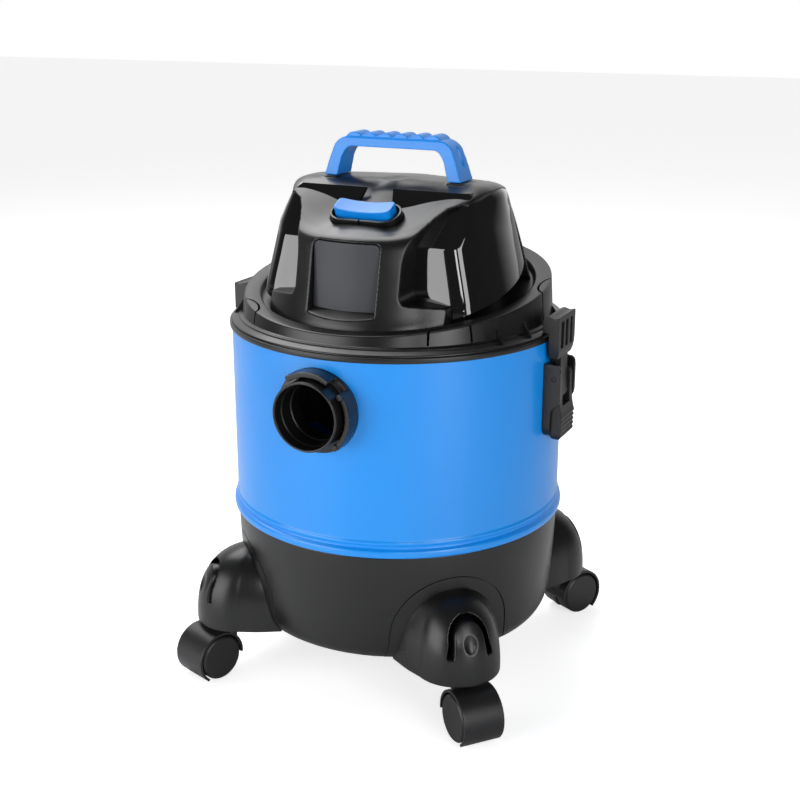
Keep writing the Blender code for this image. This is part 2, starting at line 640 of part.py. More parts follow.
# ---- motor, fan, filter and float -----------------------------------------------------
def make_motor():
    """Stator can, armature on its shaft, impeller and the fan's housing."""
    can = [(0.042, 0.429), (0.042, 0.3683), (0.0052, 0.3683), (0.0052, 0.373), (0.027, 0.373),
           (0.027, 0.424), (0.0052, 0.424), (0.0052, 0.429)]
    smooth(turned("motor_can", can, MOTOR_METAL))
    armature = [(0.0, 0.438), (0.004, 0.438), (0.004, 0.421), (0.0255, 0.421), (0.0255, 0.379),
                (0.004, 0.379), (0.004, 0.328), (0.0, 0.328)]
    smooth(turned("motor_armature", armature, STEEL, 16))

    disc = [(0.054, 0.3515), (0.054, 0.350), (0.010, 0.350), (0.009, 0.334), (0.0043, 0.334),
            (0.0043, 0.3515)]
    impeller = smooth(turned("impeller", disc, MOTOR_METAL))
    blades = bmesh.new()
    for blade in range(7):
        sweep = Matrix.Rotation(2 * pi * blade / 7, 4, "Z") @ Matrix.Translation((0.032, 0.0, 0.3435))
        slant = sweep @ Matrix.Rotation(radians(28.0), 4, "Z") @ Matrix.Diagonal((0.036, 0.0012, 0.0135, 1.0))
        bmesh.ops.create_cube(blades, size=1.0, matrix=slant)
    boolean(impeller, from_form("impeller_blades", blades, None), "UNION")

    housing = [(0.0612, 0.3668), (0.0612, 0.3222), (0.020, 0.3222), (0.020, 0.3255), (0.0585, 0.3255),
               (0.0585, 0.3635), (0.0052, 0.3635), (0.0052, 0.3668)]
    smooth(turned("fan_housing", housing, BLACK_PLASTIC))


FILTER_TOP = 0.3217
FILTER_LOW = 0.222


def make_filter():
    """Pleated cartridge round the float's cage, its cap, the cage and the float."""
    pleats = 36
    outline = []
    for fold in range(pleats):
        for radius, part in ((0.060, 0.0), (0.054, 0.5)):
            angle = 2 * pi * (fold + part) / pleats
            outline.append((radius * cos(angle), radius * sin(angle)))
    half = (FILTER_TOP - FILTER_LOW) / 2
    cartridge = plate("filter_cartridge", outline, half, FILTER_PAPER, plane="flat")
    cartridge.data.transform(Matrix.Translation((0.0, 0.0, FILTER_LOW + half)))
    boolean(cartridge, rod("cartridge_bore", "Z", 0.045, 0.20, 0.34))

    cap = [(0.0, 0.2217), (0.062, 0.2217), (0.062, 0.2165), (0.052, 0.2135), (0.018, 0.2135),
           (0.014, 0.203), (0.0, 0.203)]
    smooth(turned("filter_cap", cap, BLACK_PLASTIC))

    cage_profile = [(0.030, FILTER_TOP), (0.030, 0.262), (0.010, 0.262), (0.010, 0.2642),
                    (0.0275, 0.2642), (0.0275, FILTER_TOP)]
    cage = smooth(turned("float_cage", cage_profile, BLACK_PLASTIC))
    slots = bmesh.new()
    for slot in range(4):
        around = Matrix.Rotation(pi / 2 * slot + pi / 4, 4, "Z") @ Matrix.Translation((0.030, 0.0, 0.2925))
        bmesh.ops.create_cube(slots, size=1.0, matrix=around @ Matrix.Diagonal((0.02, 0.024, 0.040, 1.0)))
    boolean(cage, from_form("cage_slots", slots, None))

    ball = bmesh.new()
    bmesh.ops.create_uvsphere(ball, u_segments=16, v_segments=10, radius=0.018)
    float_ball = smooth(from_form("float_ball", ball, FLOAT_PLASTIC), 60.0)
    float_ball.location = (0.0, 0.0, 0.2642 + 0.018 - 0.0020)


# ---- rear outlets ---------------------------------------------------------------------
BLOWER_HEIGHT = 0.402
GLAND_AZIMUTH = 150.0
GLAND_HEIGHT = 0.398


def make_rear(cover):
    """Blower outlet at the back, and the gland where a mains lead would come out."""
    at = (0.0, 0.0, BLOWER_HEIGHT)
    tube = [(0.022, 0.128), (0.022, 0.084), (0.0195, 0.084), (0.0195, 0.128)]
    blower = smooth(settled(turned("blower_port", tube, BLACK_PLASTIC)))
    blower.data.transform(Matrix.Translation(at) @ Matrix.Rotation(-pi / 2, 4, "X"))
    boolean(cover, rod("blower_opening", "Y", 0.022 + GAP, 0.07, 0.14, at=at))

    gland = [(0.0, 0.131), (0.0055, 0.131), (0.0075, 0.1175), (0.009, 0.1175), (0.009, 0.1155),
             (0.006, 0.1155), (0.006, 0.100), (0.0, 0.100)]
    body = smooth(settled(turned("cord_gland", gland, BLACK_PLASTIC, 12)))
    lie = Matrix.Rotation(heading(GLAND_AZIMUTH), 4, "Z") @ Matrix.Translation((0.0, 0.0, GLAND_HEIGHT))
    body.data.transform(lie @ Matrix.Rotation(pi / 2, 4, "Y"))
    hole = rod("gland_hole", "X", 0.006 + GAP, 0.09, 0.12, steps=12)
    hole.data.transform(lie)
    boolean(cover, hole)


# ---- assembly -------------------------------------------------------------------------
def main():
    drum_space = rod("drum_space", "Z", DRUM_RADIUS + GAP, 0.16, 0.36, steps=RIM_STEPS)
    round_base = [(radius + GAP, height) for radius, height in BASE_OUTSIDE]
    base_space = turned("base_space", [(0.0, BASE_TOP), *round_base, (0.0, BASE_BOTTOM)], None, RIM_STEPS)
    make_base()
    make_drum()
    make_collar()
    make_inlet()
    for name, azimuth in FOOT_NAMES.items():
        make_foot(name, azimuth, base_space)
        make_caster(name, azimuth)
    for side, turn in SIDES.items():
        make_latch(side, turn, drum_space)
    make_lid()
    cover = make_cover()
    make_side_dome("right", 1.0)
    make_side_dome("left", -1.0)
    make_handle()
    make_switch(cover)
    make_motor()
    make_filter()
    make_rear(cover)


main()
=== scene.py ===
"""Looks of the shop vacuum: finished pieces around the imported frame, a pale floor and soft light."""

import json
from math import acos, cos, hypot, pi, radians, sin

import bmesh
import bpy
from mathutils import Matrix, Vector


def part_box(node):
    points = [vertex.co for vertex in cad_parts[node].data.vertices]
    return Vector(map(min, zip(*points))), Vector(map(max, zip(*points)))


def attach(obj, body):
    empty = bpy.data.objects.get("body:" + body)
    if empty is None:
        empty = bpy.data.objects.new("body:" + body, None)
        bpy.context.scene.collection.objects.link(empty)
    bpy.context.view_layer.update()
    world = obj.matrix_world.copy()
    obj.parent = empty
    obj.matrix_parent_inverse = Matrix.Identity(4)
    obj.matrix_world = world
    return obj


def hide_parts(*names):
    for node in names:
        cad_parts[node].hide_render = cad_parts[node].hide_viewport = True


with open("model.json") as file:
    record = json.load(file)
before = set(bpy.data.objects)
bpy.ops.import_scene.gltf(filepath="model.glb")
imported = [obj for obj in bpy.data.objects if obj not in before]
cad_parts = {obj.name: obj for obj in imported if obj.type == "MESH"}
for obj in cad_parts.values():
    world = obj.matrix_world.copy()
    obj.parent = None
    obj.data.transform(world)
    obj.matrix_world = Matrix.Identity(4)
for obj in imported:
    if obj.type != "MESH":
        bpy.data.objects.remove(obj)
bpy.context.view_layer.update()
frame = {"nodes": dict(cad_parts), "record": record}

# ---- sizes read from the frame --------------------------------------------------------
COLLAR_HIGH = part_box("rim_collar")[1]
BASE_LOW, BASE_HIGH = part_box("tank_base")
HANDLE_LOW, HANDLE_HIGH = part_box("carry_handle")
PORT_LOW, PORT_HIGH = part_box("inlet_port")

RIM = COLLAR_HIGH[0]                       # radius of the rim band
DRUM = RIM - 0.002                         # radius of the drum
WALL = 0.001                               # the drum's sheet
GAP = 0.0003                               # clearance between touching pieces
RIM_TOP = COLLAR_HIGH[2]
BASE_TOP = BASE_HIGH[2]
BASE_BOTTOM = BASE_LOW[2]
PORT_AT = (0.0, 0.0, (PORT_LOW[2] + PORT_HIGH[2]) / 2)
PORT_OUT = 0.0298
PORT_IN = 0.027
MOUTH = -PORT_LOW[1]

DECK = 0.352                               # deck of the lid over the drum's axis
RING = 0.360                               # top of the lid's ring over the axis
SLOPE = 0.143                              # rise of both towards the back
TILT_START = 0.333                         # heights between which the lid starts to lean
TILT_FULL = 0.348
SMOOTH_STEPS = 192                         # sides of a large turned piece
STEM_CIRCLE = 0.169                        # radius of the caster stems' circle
WHEEL = 0.021                              # radius of a wheel
TRAIL = 0.021                              # stem to axle
HOOD = 0.0245                              # radius of a caster's hood

# azimuths from the front (-Y) towards +X, in degrees
FEET = {"front_right": 45.0, "rear_right": 135.0, "rear_left": -135.0, "front_left": -45.0}
HEADINGS = {"front_right": 50.0, "rear_right": 150.0, "rear_left": -128.0, "front_left": -19.0}


# ---- materials ------------------------------------------------------------------------
def links(tree, *pairs):
    """Link pairs of sockets."""
    for start, end in pairs:
        tree.links.new(start, end)


def surface(name, colour, shade, roughness, grain=0.0, grain_size=0.0006, metallic=0.0, coat=0.0,
            coat_roughness=0.05, wave=0.0, wave_size=0.05, spread=0.08, specular=0.5):
    """Procedural finish: two close colours, uneven roughness, a moulded grain and a slow waviness."""
    material = bpy.data.materials.new(name)
    material.use_nodes = True
    tree = material.node_tree
    shader = tree.nodes["Principled BSDF"]
    shader.inputs["Metallic"].default_value = metallic
    shader.inputs["Specular IOR Level"].default_value = specular
    if coat:
        shader.inputs["Coat Weight"].default_value = coat
        shader.inputs["Coat Roughness"].default_value = coat_roughness
    place = tree.nodes.new("ShaderNodeTexCoord")

    broad = tree.nodes.new("ShaderNodeTexNoise")
    broad.inputs["Scale"].default_value = 22.0
    broad.inputs["Detail"].default_value = 5.0
    tint = tree.nodes.new("ShaderNodeMix")
    tint.data_type = "RGBA"
    tint.inputs["A"].default_value = (*colour, 1.0)
    tint.inputs["B"].default_value = (*shade, 1.0)
    rough = tree.nodes.new("ShaderNodeMapRange")
    rough.inputs["From Min"].default_value = 0.3
    rough.inputs["From Max"].default_value = 0.7
    rough.inputs["To Min"].default_value = roughness * (1 - spread)
    rough.inputs["To Max"].default_value = roughness * (1 + spread)
    links(tree, (place.outputs["Object"], broad.inputs["Vector"]),
          (broad.outputs["Fac"], tint.inputs["Factor"]),
          (tint.outputs["Result"], shader.inputs["Base Color"]),
          (broad.outputs["Fac"], rough.inputs["Value"]),
          (rough.outputs["Result"], shader.inputs["Roughness"]))
    below = None
    for size, strength, detail in ((wave_size, wave, 1.0), (grain_size, grain, 2.0)):
        if not strength:
            continue
        noise = tree.nodes.new("ShaderNodeTexNoise")
        noise.inputs["Scale"].default_value = 1.0 / size
        noise.inputs["Detail"].default_value = detail
        bump = tree.nodes.new("ShaderNodeBump")
        bump.inputs["Strength"].default_value = strength
        bump.inputs["Distance"].default_value = size * 0.25
        links(tree, (place.outputs["Object"], noise.inputs["Vector"]),
              (noise.outputs["Fac"], bump.inputs["Height"]))
        if below is not None:
            links(tree, (below.outputs["Normal"], bump.inputs["Normal"]))
        below = bump
    if below is not None:
        links(tree, (below.outputs["Normal"], shader.inputs["Normal"]))
    return material


PAINT = surface("blue_paint", (0.003, 0.285, 0.86), (0.002, 0.265, 0.83), 0.34, coat=0.30,
                coat_roughness=0.16, wave=0.02, wave_size=0.03, grain=0.03, grain_size=0.0009)
BLUE = surface("blue_plastic", (0.004, 0.260, 0.82), (0.003, 0.235, 0.79), 0.33, grain=0.08,
               grain_size=0.0006)
BLACK = surface("black_plastic", (0.0072, 0.0072, 0.0074), (0.0058, 0.0058, 0.006), 0.31, grain=0.14,
                grain_size=0.00055, spread=0.14)
COARSE = surface("black_plastic_coarse", (0.010, 0.010, 0.0105), (0.0075, 0.0075, 0.008), 0.42, grain=0.30,
                 grain_size=0.0007, spread=0.14)
GLOSS = surface("gloss_black", (0.0045, 0.0045, 0.005), (0.0035, 0.0035, 0.004), 0.06, coat=1.0,
                coat_roughness=0.03, wave=0.012, wave_size=0.04)
SLATE = surface("slate_panel", (0.034, 0.037, 0.044), (0.030, 0.033, 0.039), 0.55, grain=0.10,
                grain_size=0.0004)
TYRE = surface("wheel_plastic", (0.011, 0.011, 0.012), (0.008, 0.008, 0.009), 0.38, grain=0.16,
               grain_size=0.0005)
STEEL = surface("steel", (0.56, 0.56, 0.57), (0.48, 0.48, 0.49), 0.28, metallic=1.0, grain=0.05,
                grain_size=0.0004)
RUBBER = surface("seal_rubber", (0.018, 0.018, 0.018), (0.012, 0.012, 0.012), 0.8, grain=0.5,
                 grain_size=0.0008)
PAPER = surface("filter_paper", (0.72, 0.70, 0.62), (0.60, 0.58, 0.50), 0.85, grain=0.4, grain_size=0.0009)
CAST = surface("motor_metal", (0.40, 0.40, 0.41), (0.30, 0.30, 0.31), 0.42, metallic=1.0, grain=0.3,
               grain_size=0.001)
FLOAT = surface("float_plastic", (0.66, 0.66, 0.63), (0.60, 0.60, 0.57), 0.45, grain=0.1)


# ---- mesh helpers ---------------------------------------------------------------------
def thing(name, points, faces):
    """An object from points and faces."""
    mesh = bpy.data.meshes.new(name)
    mesh.from_pydata([tuple(point) for point in points], [], faces)
    mesh.update()
    made = bpy.data.objects.new(name, mesh)
    bpy.context.scene.collection.objects.link(made)
    return made


def tidy_up(made, merge=1e-6):
    """Merge the points that fall together and face everything outwards."""
    form = bmesh.new()
    form.from_mesh(made.data)
    bmesh.ops.remove_doubles(form, verts=form.verts, dist=merge)
    bmesh.ops.dissolve_degenerate(form, edges=form.edges, dist=merge)
    bmesh.ops.recalc_face_normals(form, faces=form.faces)
    form.to_mesh(made.data)
    form.free()
    return made


def arc(centre, radius, start, end, count):
    """Points along a circular arc, in degrees, both ends included."""
    step = (end - start) / (count - 1)
    angles = [radians(start + step * i) for i in range(count)]
    return [(centre[0] + radius * cos(a), centre[1] + radius * sin(a)) for a in angles]


def fillet(outline, radius, parts=4):
    """The outline with its corners rounded; a corner may carry its own radius as a third number."""
    count = len(outline)
    rounded = []
    for i, corner in enumerate(outline):
        own = corner[2] if len(corner) > 2 else radius
        here = Vector(corner[:2])
        if own <= 0.0:
            rounded.append(tuple(here))
            continue
        before = Vector(outline[i - 1][:2]) - here
        after = Vector(outline[(i + 1) % count][:2]) - here
        reach = min(own, before.length * 0.45, after.length * 0.45)
        start = here + before.normalized() * reach
        end = here + after.normalized() * reach
        for step in range(parts + 1):
            t = step / parts
            rounded.append(tuple(start * (1 - t) ** 2 + here * 2 * t * (1 - t) + end * t * t))
    return rounded


def lathe(name, profile, steps=SMOOTH_STEPS):
    """Solid of revolution about Z from a profile of (radius, height)."""
    count = len(profile)
    points = []
    for step in range(steps):
        angle = 2 * pi * step / steps
        points += [(r * cos(angle), r * sin(angle), z) for r, z in profile]
    faces = []
    for step in range(steps):
        here, there = step * count, (step + 1) % steps * count
        for i in range(count):
            j = (i + 1) % count
            faces.append((here + i, here + j, there + j, there + i))
    return tidy_up(thing(name, points, faces))


def rings(levels, count):
    """Faces between closed rings of points, from the lowest ring up."""
    faces = []
    for level in range(levels):
        for i in range(count):
            j = (i + 1) % count
            faces.append((level * count + i, level * count + j,
                          (level + 1) * count + j, (level + 1) * count + i))
    return faces


def prism(name, outline, low, high, turn=None):
    """An outline in XY extruded from low to high, then turned."""
    count = len(outline)
    points = [(x, y, low) for x, y in outline] + [(x, y, high) for x, y in outline]
    faces = [tuple(range(count))[::-1], tuple(range(count, 2 * count))]
    faces += [(i, (i + 1) % count, count + (i + 1) % count, count + i) for i in range(count)]
    made = tidy_up(thing(name, points, faces))
    if turn is not None:
        made.data.transform(turn)
    return made


TO_XZ = Matrix(((1, 0, 0, 0), (0, 0, -1, 0), (0, 1, 0, 0), (0, 0, 0, 1)))      # outline in X and Z
TO_YZ = Matrix(((0, 0, 1, 0), (1, 0, 0, 0), (0, 1, 0, 0), (0, 0, 0, 1)))       # outline in Y and Z


def brick(name, low, high):
    """A box between two corners."""
    outline = [(low[0], low[1]), (high[0], low[1]), (high[0], high[1]), (low[0], high[1])]
    return prism(name, outline, low[2], high[2])


def cylinder(name, axis, radius, start, end, at=(0.0, 0.0, 0.0), steps=64):
    """A cylinder along Y or Z through a point."""
    made = prism(name, arc((0.0, 0.0), radius, 0.0, 360.0 - 360.0 / steps, steps), start, end)
    turn = Matrix.Rotation(-pi / 2, 4, "X") if axis == "Y" else Matrix.Identity(4)
    made.data.transform(Matrix.Translation(at) @ turn)
    return made


def ball(name, centre, size, turn=None):
    """An ellipsoid with three half-axes."""
    form = bmesh.new()
    bmesh.ops.create_uvsphere(form, u_segments=48, v_segments=32, radius=1.0)
    mesh = bpy.data.meshes.new(name)
    form.to_mesh(mesh)
    form.free()
    made = bpy.data.objects.new(name, mesh)
    bpy.context.scene.collection.objects.link(made)
    lie = Matrix.Translation(centre) @ (turn or Matrix.Identity(4)) @ Matrix.Diagonal((*size, 1.0))
    mesh.transform(lie)
    return made


def settled(made):
    """Apply an object's modifiers."""
    bpy.context.view_layer.update()
    seen = made.evaluated_get(bpy.context.evaluated_depsgraph_get())
    mesh = bpy.data.meshes.new_from_object(seen)
    made.modifiers.clear()
    old = made.data
    made.data = mesh
    bpy.data.meshes.remove(old)
    return made


def work(made, *cutters, operation="DIFFERENCE"):
    """Cut a piece with tools, or join them to it; the tools are used up."""
    for cutter in cutters:
        step = made.modifiers.new("work", "BOOLEAN")
        step.operation = operation
        step.object = cutter
        step.solver = "MANIFOLD"
    settled(made)
    for cutter in cutters:
        bpy.data.objects.remove(cutter, do_unlink=True)
    return made


def join(made, *others):
    """Union of pieces."""
    return work(made, *others, operation="UNION")


def moulded(made, voxel, passes=3, factor=0.5):
    """Remesh a piece finely and relax it, which rounds every edge the way a moulding's are."""
    remesh = made.modifiers.new("even", "REMESH")
    remesh.mode = "VOXEL"
    remesh.voxel_size = voxel
    relax = made.modifiers.new("relax", "SMOOTH")
    relax.factor = factor
    relax.iterations = passes
    return settled(made)


def dressed(made, material, body, slot, *nodes, sharp=40.0):
    """Shade a finished piece, give it its material and body, and hide the frame's nodes it replaces."""
    made.data.materials.clear()
    made.data.materials.append(material)
    made.data.shade_smooth()
    if sharp:
        made.data.set_sharp_from_angle(angle=radians(sharp))
    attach(made, body)
    if nodes:
        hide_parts(*nodes)
    return made


def twin(made, name, turn):
    """A copy of a piece, with its own mesh, turned or mirrored by a matrix."""
    mesh = made.data.copy()
    mesh.transform(turn)
    if turn.determinant() < 0:
        mesh.flip_normals()
    copy = bpy.data.objects.new(name, mesh)
    bpy.context.scene.collection.objects.link(copy)
    return copy


def heading(azimuth):
    """Turn that takes local +X to an azimuth, measured from the front towards +X."""
    return Matrix.Rotation(radians(azimuth - 90.0), 4, "Z")


HALF_TURN = Matrix.Rotation(pi, 4, "Z")
FLIP_X = Matrix.Diagonal((-1.0, 1.0, 1.0, 1.0))


# ---- tank -----------------------------------------------------------------------------
BASE_WALL = 0.0026
GROOVE = 0.0011                            # depth of the seam round each foot
BEAD = 0.0011                              # rise of the drum's upper bead


def base_outside(inset=0.0):
    """The tub's outer profile, from its rim down to its underside."""
    line = [(0.150, BASE_TOP, 0.0012), (0.1485, 0.110, 0.03), (0.1458, 0.074, 0.02), (0.1428, 0.0595, 0.012),
            (0.136, BASE_BOTTOM, 0.006)]
    return [(r - inset, z, f) for r, z, f in line]


def arch_outline(half, top, foot, parts=24):
    """Round-headed arch in (y, z), widening a little downwards."""
    spring = top - half
    points = [(-half * 1.09, foot), (-half * 1.02, spring * 0.5 + foot * 0.5)]
    points += arc((0.0, spring), half, 180.0, 0.0, parts)
    points += [(half * 1.02, spring * 0.5 + foot * 0.5), (half * 1.09, foot)]
    return points


def make_base():
    """Plastic tub with the arched seam round each foot."""
    outside = base_outside()
    floor = BASE_BOTTOM + BASE_WALL
    inside = [(r - BASE_WALL, max(z, floor), f) for r, z, f in reversed(outside)]
    profile = fillet([*outside, (0.0, BASE_BOTTOM, 0.0), (0.0, floor, 0.0), *inside], 0.001)
    tub = lathe("base_tub", profile)
    core = lathe("groove_core", fillet([(0.0, 0.16, 0.0), *base_outside(GROOVE),
                                        (0.0, BASE_BOTTOM - 0.01, 0.0)], 0.001))
    for azimuth in FEET.values():
        ring = prism("arch_out", arch_outline(0.0545, 0.131, 0.040), 0.09, 0.20, TO_YZ)
        work(ring, prism("arch_in", arch_outline(0.0533, 0.1298, 0.036), 0.08, 0.21, TO_YZ))
        ring.data.transform(heading(azimuth))
        hollow = core.copy()
        hollow.data = core.data.copy()
        bpy.context.scene.collection.objects.link(hollow)
        work(ring, hollow)
        work(tub, ring)
    bpy.data.objects.remove(core, do_unlink=True)
    dressed(tub, BLACK, "root", "black_plastic", "tank_base", sharp=30.0)


def make_drum():
    """Steel drum with rolled beads near its foot and a hole for the inlet."""
    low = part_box("tank_drum")[0][2]
    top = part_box("tank_drum")[1][2]
    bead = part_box("tank_drum")[1][0]
    outside = [(DRUM, top, 0.0), (DRUM, 0.1672, 0.001), (DRUM + BEAD, 0.1658, 0.001),
               (DRUM + BEAD, 0.1640, 0.001), (DRUM, 0.1626, 0.001), (DRUM, 0.1602, 0.001),
               (bead - 0.0004, 0.1588, 0.0018), (bead, 0.1560, 0.002), (bead - 0.0003, 0.1524, 0.0018),
               (0.1465, 0.1520, 0.001), (0.1462, low, 0.0)]
    inside = [(0.1452, low, 0.0), (0.1455, 0.1515, 0.0), (DRUM - WALL, 0.158, 0.0), (DRUM - WALL, top, 0.0)]
    drum = lathe("steel_drum", fillet([*outside, *inside], 0.001))
    work(drum, cylinder("port_hole", "Y", PORT_OUT + GAP, -0.20, -0.10, PORT_AT))
    dressed(drum, PAINT, "root", "blue_paint", "tank_drum", sharp=30.0)

    lip = DRUM - WALL - GAP
    seat = top + GAP
    band = fillet([(RIM, RIM_TOP), (RIM, seat), (lip, seat, 0.0003), (lip, 0.312), (0.1468, 0.312),
                   (0.1468, RIM_TOP)], 0.0011)
    dressed(lathe("rim_band", band), BLACK, "root", "black_plastic", "rim_collar", sharp=30.0)


def drum_room(name):
    """Solid that fills the drum, to trim what is fixed to its outside."""
    return lathe(name, [(DRUM + GAP, 0.36), (DRUM + GAP, 0.20), (0.0, 0.20), (0.0, 0.36)])


# ---- inlet ----------------------------------------------------------------------------
PORT_RING = 0.1490                         # face of the inlet's flange, from the axis
def make_inlet():
    """Hose inlet: stepped tube, flange and the broken bayonet wall round it."""
    face = Matrix.Translation(PORT_AT) @ Matrix.Rotation(pi / 2, 4, "X")
    flange = PORT_HIGH[0]
    back = -PORT_HIGH[1]
    throat = PORT_IN - 0.0018
    step = PORT_IN - 0.0007
    tube = fillet([(PORT_OUT, MOUTH, 0.0009), (PORT_OUT, 0.1530, 0.0008), (flange - 0.0004, 0.1520, 0.001),
                   (flange - 0.0004, 0.146, 0.0008), (PORT_OUT, 0.146, 0.0), (PORT_OUT, back, 0.0006),
                   (throat, back, 0.0006), (throat, 0.1495, 0.0005), (step, 0.149, 0.0005),
                   (step, 0.1625, 0.0005), (PORT_IN + 0.0002, 0.163, 0.0005),
                   (PORT_IN + 0.0006, MOUTH, 0.0009)], 0.0006)
    port = lathe("inlet_tube", tube, 128)
    # start and end angle, outer radius and height of each length of wall
    walls = ((58.0, 122.0, 0.0362, 0.1655), (-46.0, 33.0, flange, 0.1640), (188.0, 226.0, 0.0352, 0.1600))
    for start, end, outer, reach in walls:
        wall = [*arc((0, 0), outer, start, end, 20), *arc((0, 0), outer - 0.0042, end, start, 20)]
        join(port, prism("bayonet_wall", fillet(wall, 0.0009), PORT_RING, reach))
    for angle in (33.0, 122.0, -46.0):
        centre = (cos(radians(angle)) * 0.0344, sin(radians(angle)) * 0.0344)
        join(port, prism("bayonet_post", arc(centre, 0.0028, 0.0, 345.0, 24), PORT_RING, 0.1655))
    key = fillet([(-0.0026, 0.0290), (0.0026, 0.0290), (0.0026, 0.0325), (-0.0026, 0.0325)], 0.0005)
    join(port, prism("bayonet_key", key, 0.1500, 0.1600))
    moulded(port, 0.0005, 3)
    port.data.transform(face)
    skin = drum_room("drum_skin")
    work(skin, cylinder("neck_keep", "Y", PORT_OUT + 0.0001, -0.20, -0.10, PORT_AT))
    work(port, skin)
    dressed(port, BLACK, "root", "black_plastic", "inlet_port")


# ---- feet -----------------------------------------------------------------------------
FOOT_ROOT = 0.138                          # radius at which the dome meets the tub
FOOT_HEIGHT = 0.070


def foot_outline():
    """Half-round nose that widens towards the base, in the foot's radial frame."""
    nose = arc((0.1577, 0.0), 0.0377, -78.0, 78.0, 31)
    return fillet([(0.128, -0.0485), (0.150, -0.0432, 0.012), *[(x, y, 0.0) for x, y in nose],
                   (0.150, 0.0432, 0.012), (0.128, 0.0485)], 0.0)


def foot_dome():
    """The foot's domed body."""
    levels = 40
    outline = foot_outline()
    points = []
    for level in range(levels + 1):
        rise = (1 - (1 - level / levels) ** 1.6) * 0.992
        shrink = (1.0 - rise ** 2.6) ** (1 / 2.2)
        for x, y in outline:
            points.append((FOOT_ROOT + (x - FOOT_ROOT) * shrink, y * shrink, BASE_BOTTOM + FOOT_HEIGHT * rise))
    count = len(outline)
    faces = [tuple(range(count))[::-1], tuple(range(levels * count, (levels + 1) * count))]
    faces += rings(levels, count)
    return tidy_up(thing("foot_body", points, faces))


def slot_outline(half, top, foot, flare):
    """Arch of the push tab's slot in (y, z)."""
    spring = top - half * 1.15
    head = [(half * cos(radians(a)), spring + half * 1.15 * sin(radians(a))) for a in range(180, -1, -10)]
    return [(-half - flare, foot), *head, (half + flare, foot)]


def make_feet():
    """Domed feet with a push tab between the legs of an arched slot."""
    foot = foot_dome()
    slot = prism("slot_out", slot_outline(0.0178, 0.1085, 0.0745, 0.0030), 0.150, 0.22, TO_YZ)
    work(slot, prism("slot_in", slot_outline(0.0133, 0.1035, 0.0700, 0.0022), 0.140, 0.23, TO_YZ))
    work(foot, slot)
    work(foot, ball("dimple", (0.1925, 0.0, 0.0900), (0.0052, 0.0085, 0.0132),
                    Matrix.Rotation(radians(-14.0), 4, "Y")))
    moulded(foot, 0.0007, 4)
    space = fillet([(0.0, BASE_TOP, 0.0), *base_outside(-GAP), (0.0, BASE_BOTTOM, 0.0)], 0.001)
    work(foot, lathe("base_space", space))
    work(foot, cylinder("socket", "Z", 0.0054, 0.03, 0.0885, (STEM_CIRCLE, 0.0, 0.0), 32))
    for name, azimuth in FEET.items():
        shell = twin(foot, "foot_shell_" + name, heading(azimuth))
        dressed(shell, BLACK, "root", "black_plastic", "foot_" + name)
    bpy.data.objects.remove(foot, do_unlink=True)


# ---- casters --------------------------------------------------------------------------
def make_casters():
    """Hooded twin-wheel casters on their swivel bodies."""
    hub = (TRAIL, 0.0, WHEEL)
    hood = cylinder("hood", "Y", HOOD, -0.0186, 0.0186, hub, 96)
    join(hood, cylinder("hood_boss", "Z", 0.0090, 0.028, 0.0493, steps=48))
    inner = 0.0219
    gap = [*arc((0, 0), inner, 185.0, 225.0, 12), (inner * cos(radians(310)), inner * sin(radians(310))),
           *arc((0, 0), 0.045, 310.0, 185.0, 8)]
    for low, high in ((0.003, 0.03), (-0.03, -0.003)):
        work(hood, cylinder("pocket", "Y", inner + 0.0001, low, high, hub, 96))
    opening = prism("opening", gap, -0.03, 0.03, Matrix.Translation(hub) @ TO_XZ)
    work(hood, opening)
    moulded(hood, 0.0005, 3)
    work(hood, cylinder("stem_bore", "Z", 0.0053, 0.0365, 0.06, steps=32))
    work(hood, cylinder("axle_bore", "Y", 0.0033, -0.01, 0.01, hub, 32))

    disc = fillet([(0.0, 0.0186, 0.0), (0.0165, 0.0189, 0.002), (0.0188, 0.0190, 0.0006),
                   (0.0199, 0.0182, 0.0006), (WHEEL - 0.0002, 0.0172, 0.0012), (WHEEL, 0.0040, 0.001),
                   (WHEEL - 0.0008, 0.0034, 0.0005), (0.0033, 0.0034, 0.0), (0.0033, 0.015, 0.0),
                   (0.0, 0.015, 0.0)], 0.0008)
    wheel = lathe("wheel", disc, 96)
    for name, azimuth in FEET.items():
        place = heading(azimuth) @ Matrix.Translation((STEM_CIRCLE, 0.0, 0.0)) @ heading(azimuth).inverted()
        place = place @ heading(HEADINGS[name])
        shell = twin(hood, "hood_shell_" + name, place)
        dressed(shell, TYRE, "caster_" + name, "wheel_plastic", "caster_hood_" + name)
        for hand, sign in (("a", 1.0), ("b", -1.0)):
            spun = place @ Matrix.Translation(hub) @ Matrix.Rotation(-sign * pi / 2, 4, "X")
            node = "wheel_" + name + "_" + hand
            rim = twin(wheel, "wheel_disc_" + name + "_" + hand, spun)
            dressed(rim, TYRE, node, "wheel_plastic", node, sharp=50.0)
    bpy.data.objects.remove(hood, do_unlink=True)
    bpy.data.objects.remove(wheel, do_unlink=True)


# ---- latches --------------------------------------------------------------------------
PIVOT = (0.1585, 0.290)                    # lever's axis and the hook's, in (x, z)
LINK = (0.1580, 0.274)
PIN_HOLE = 0.0023


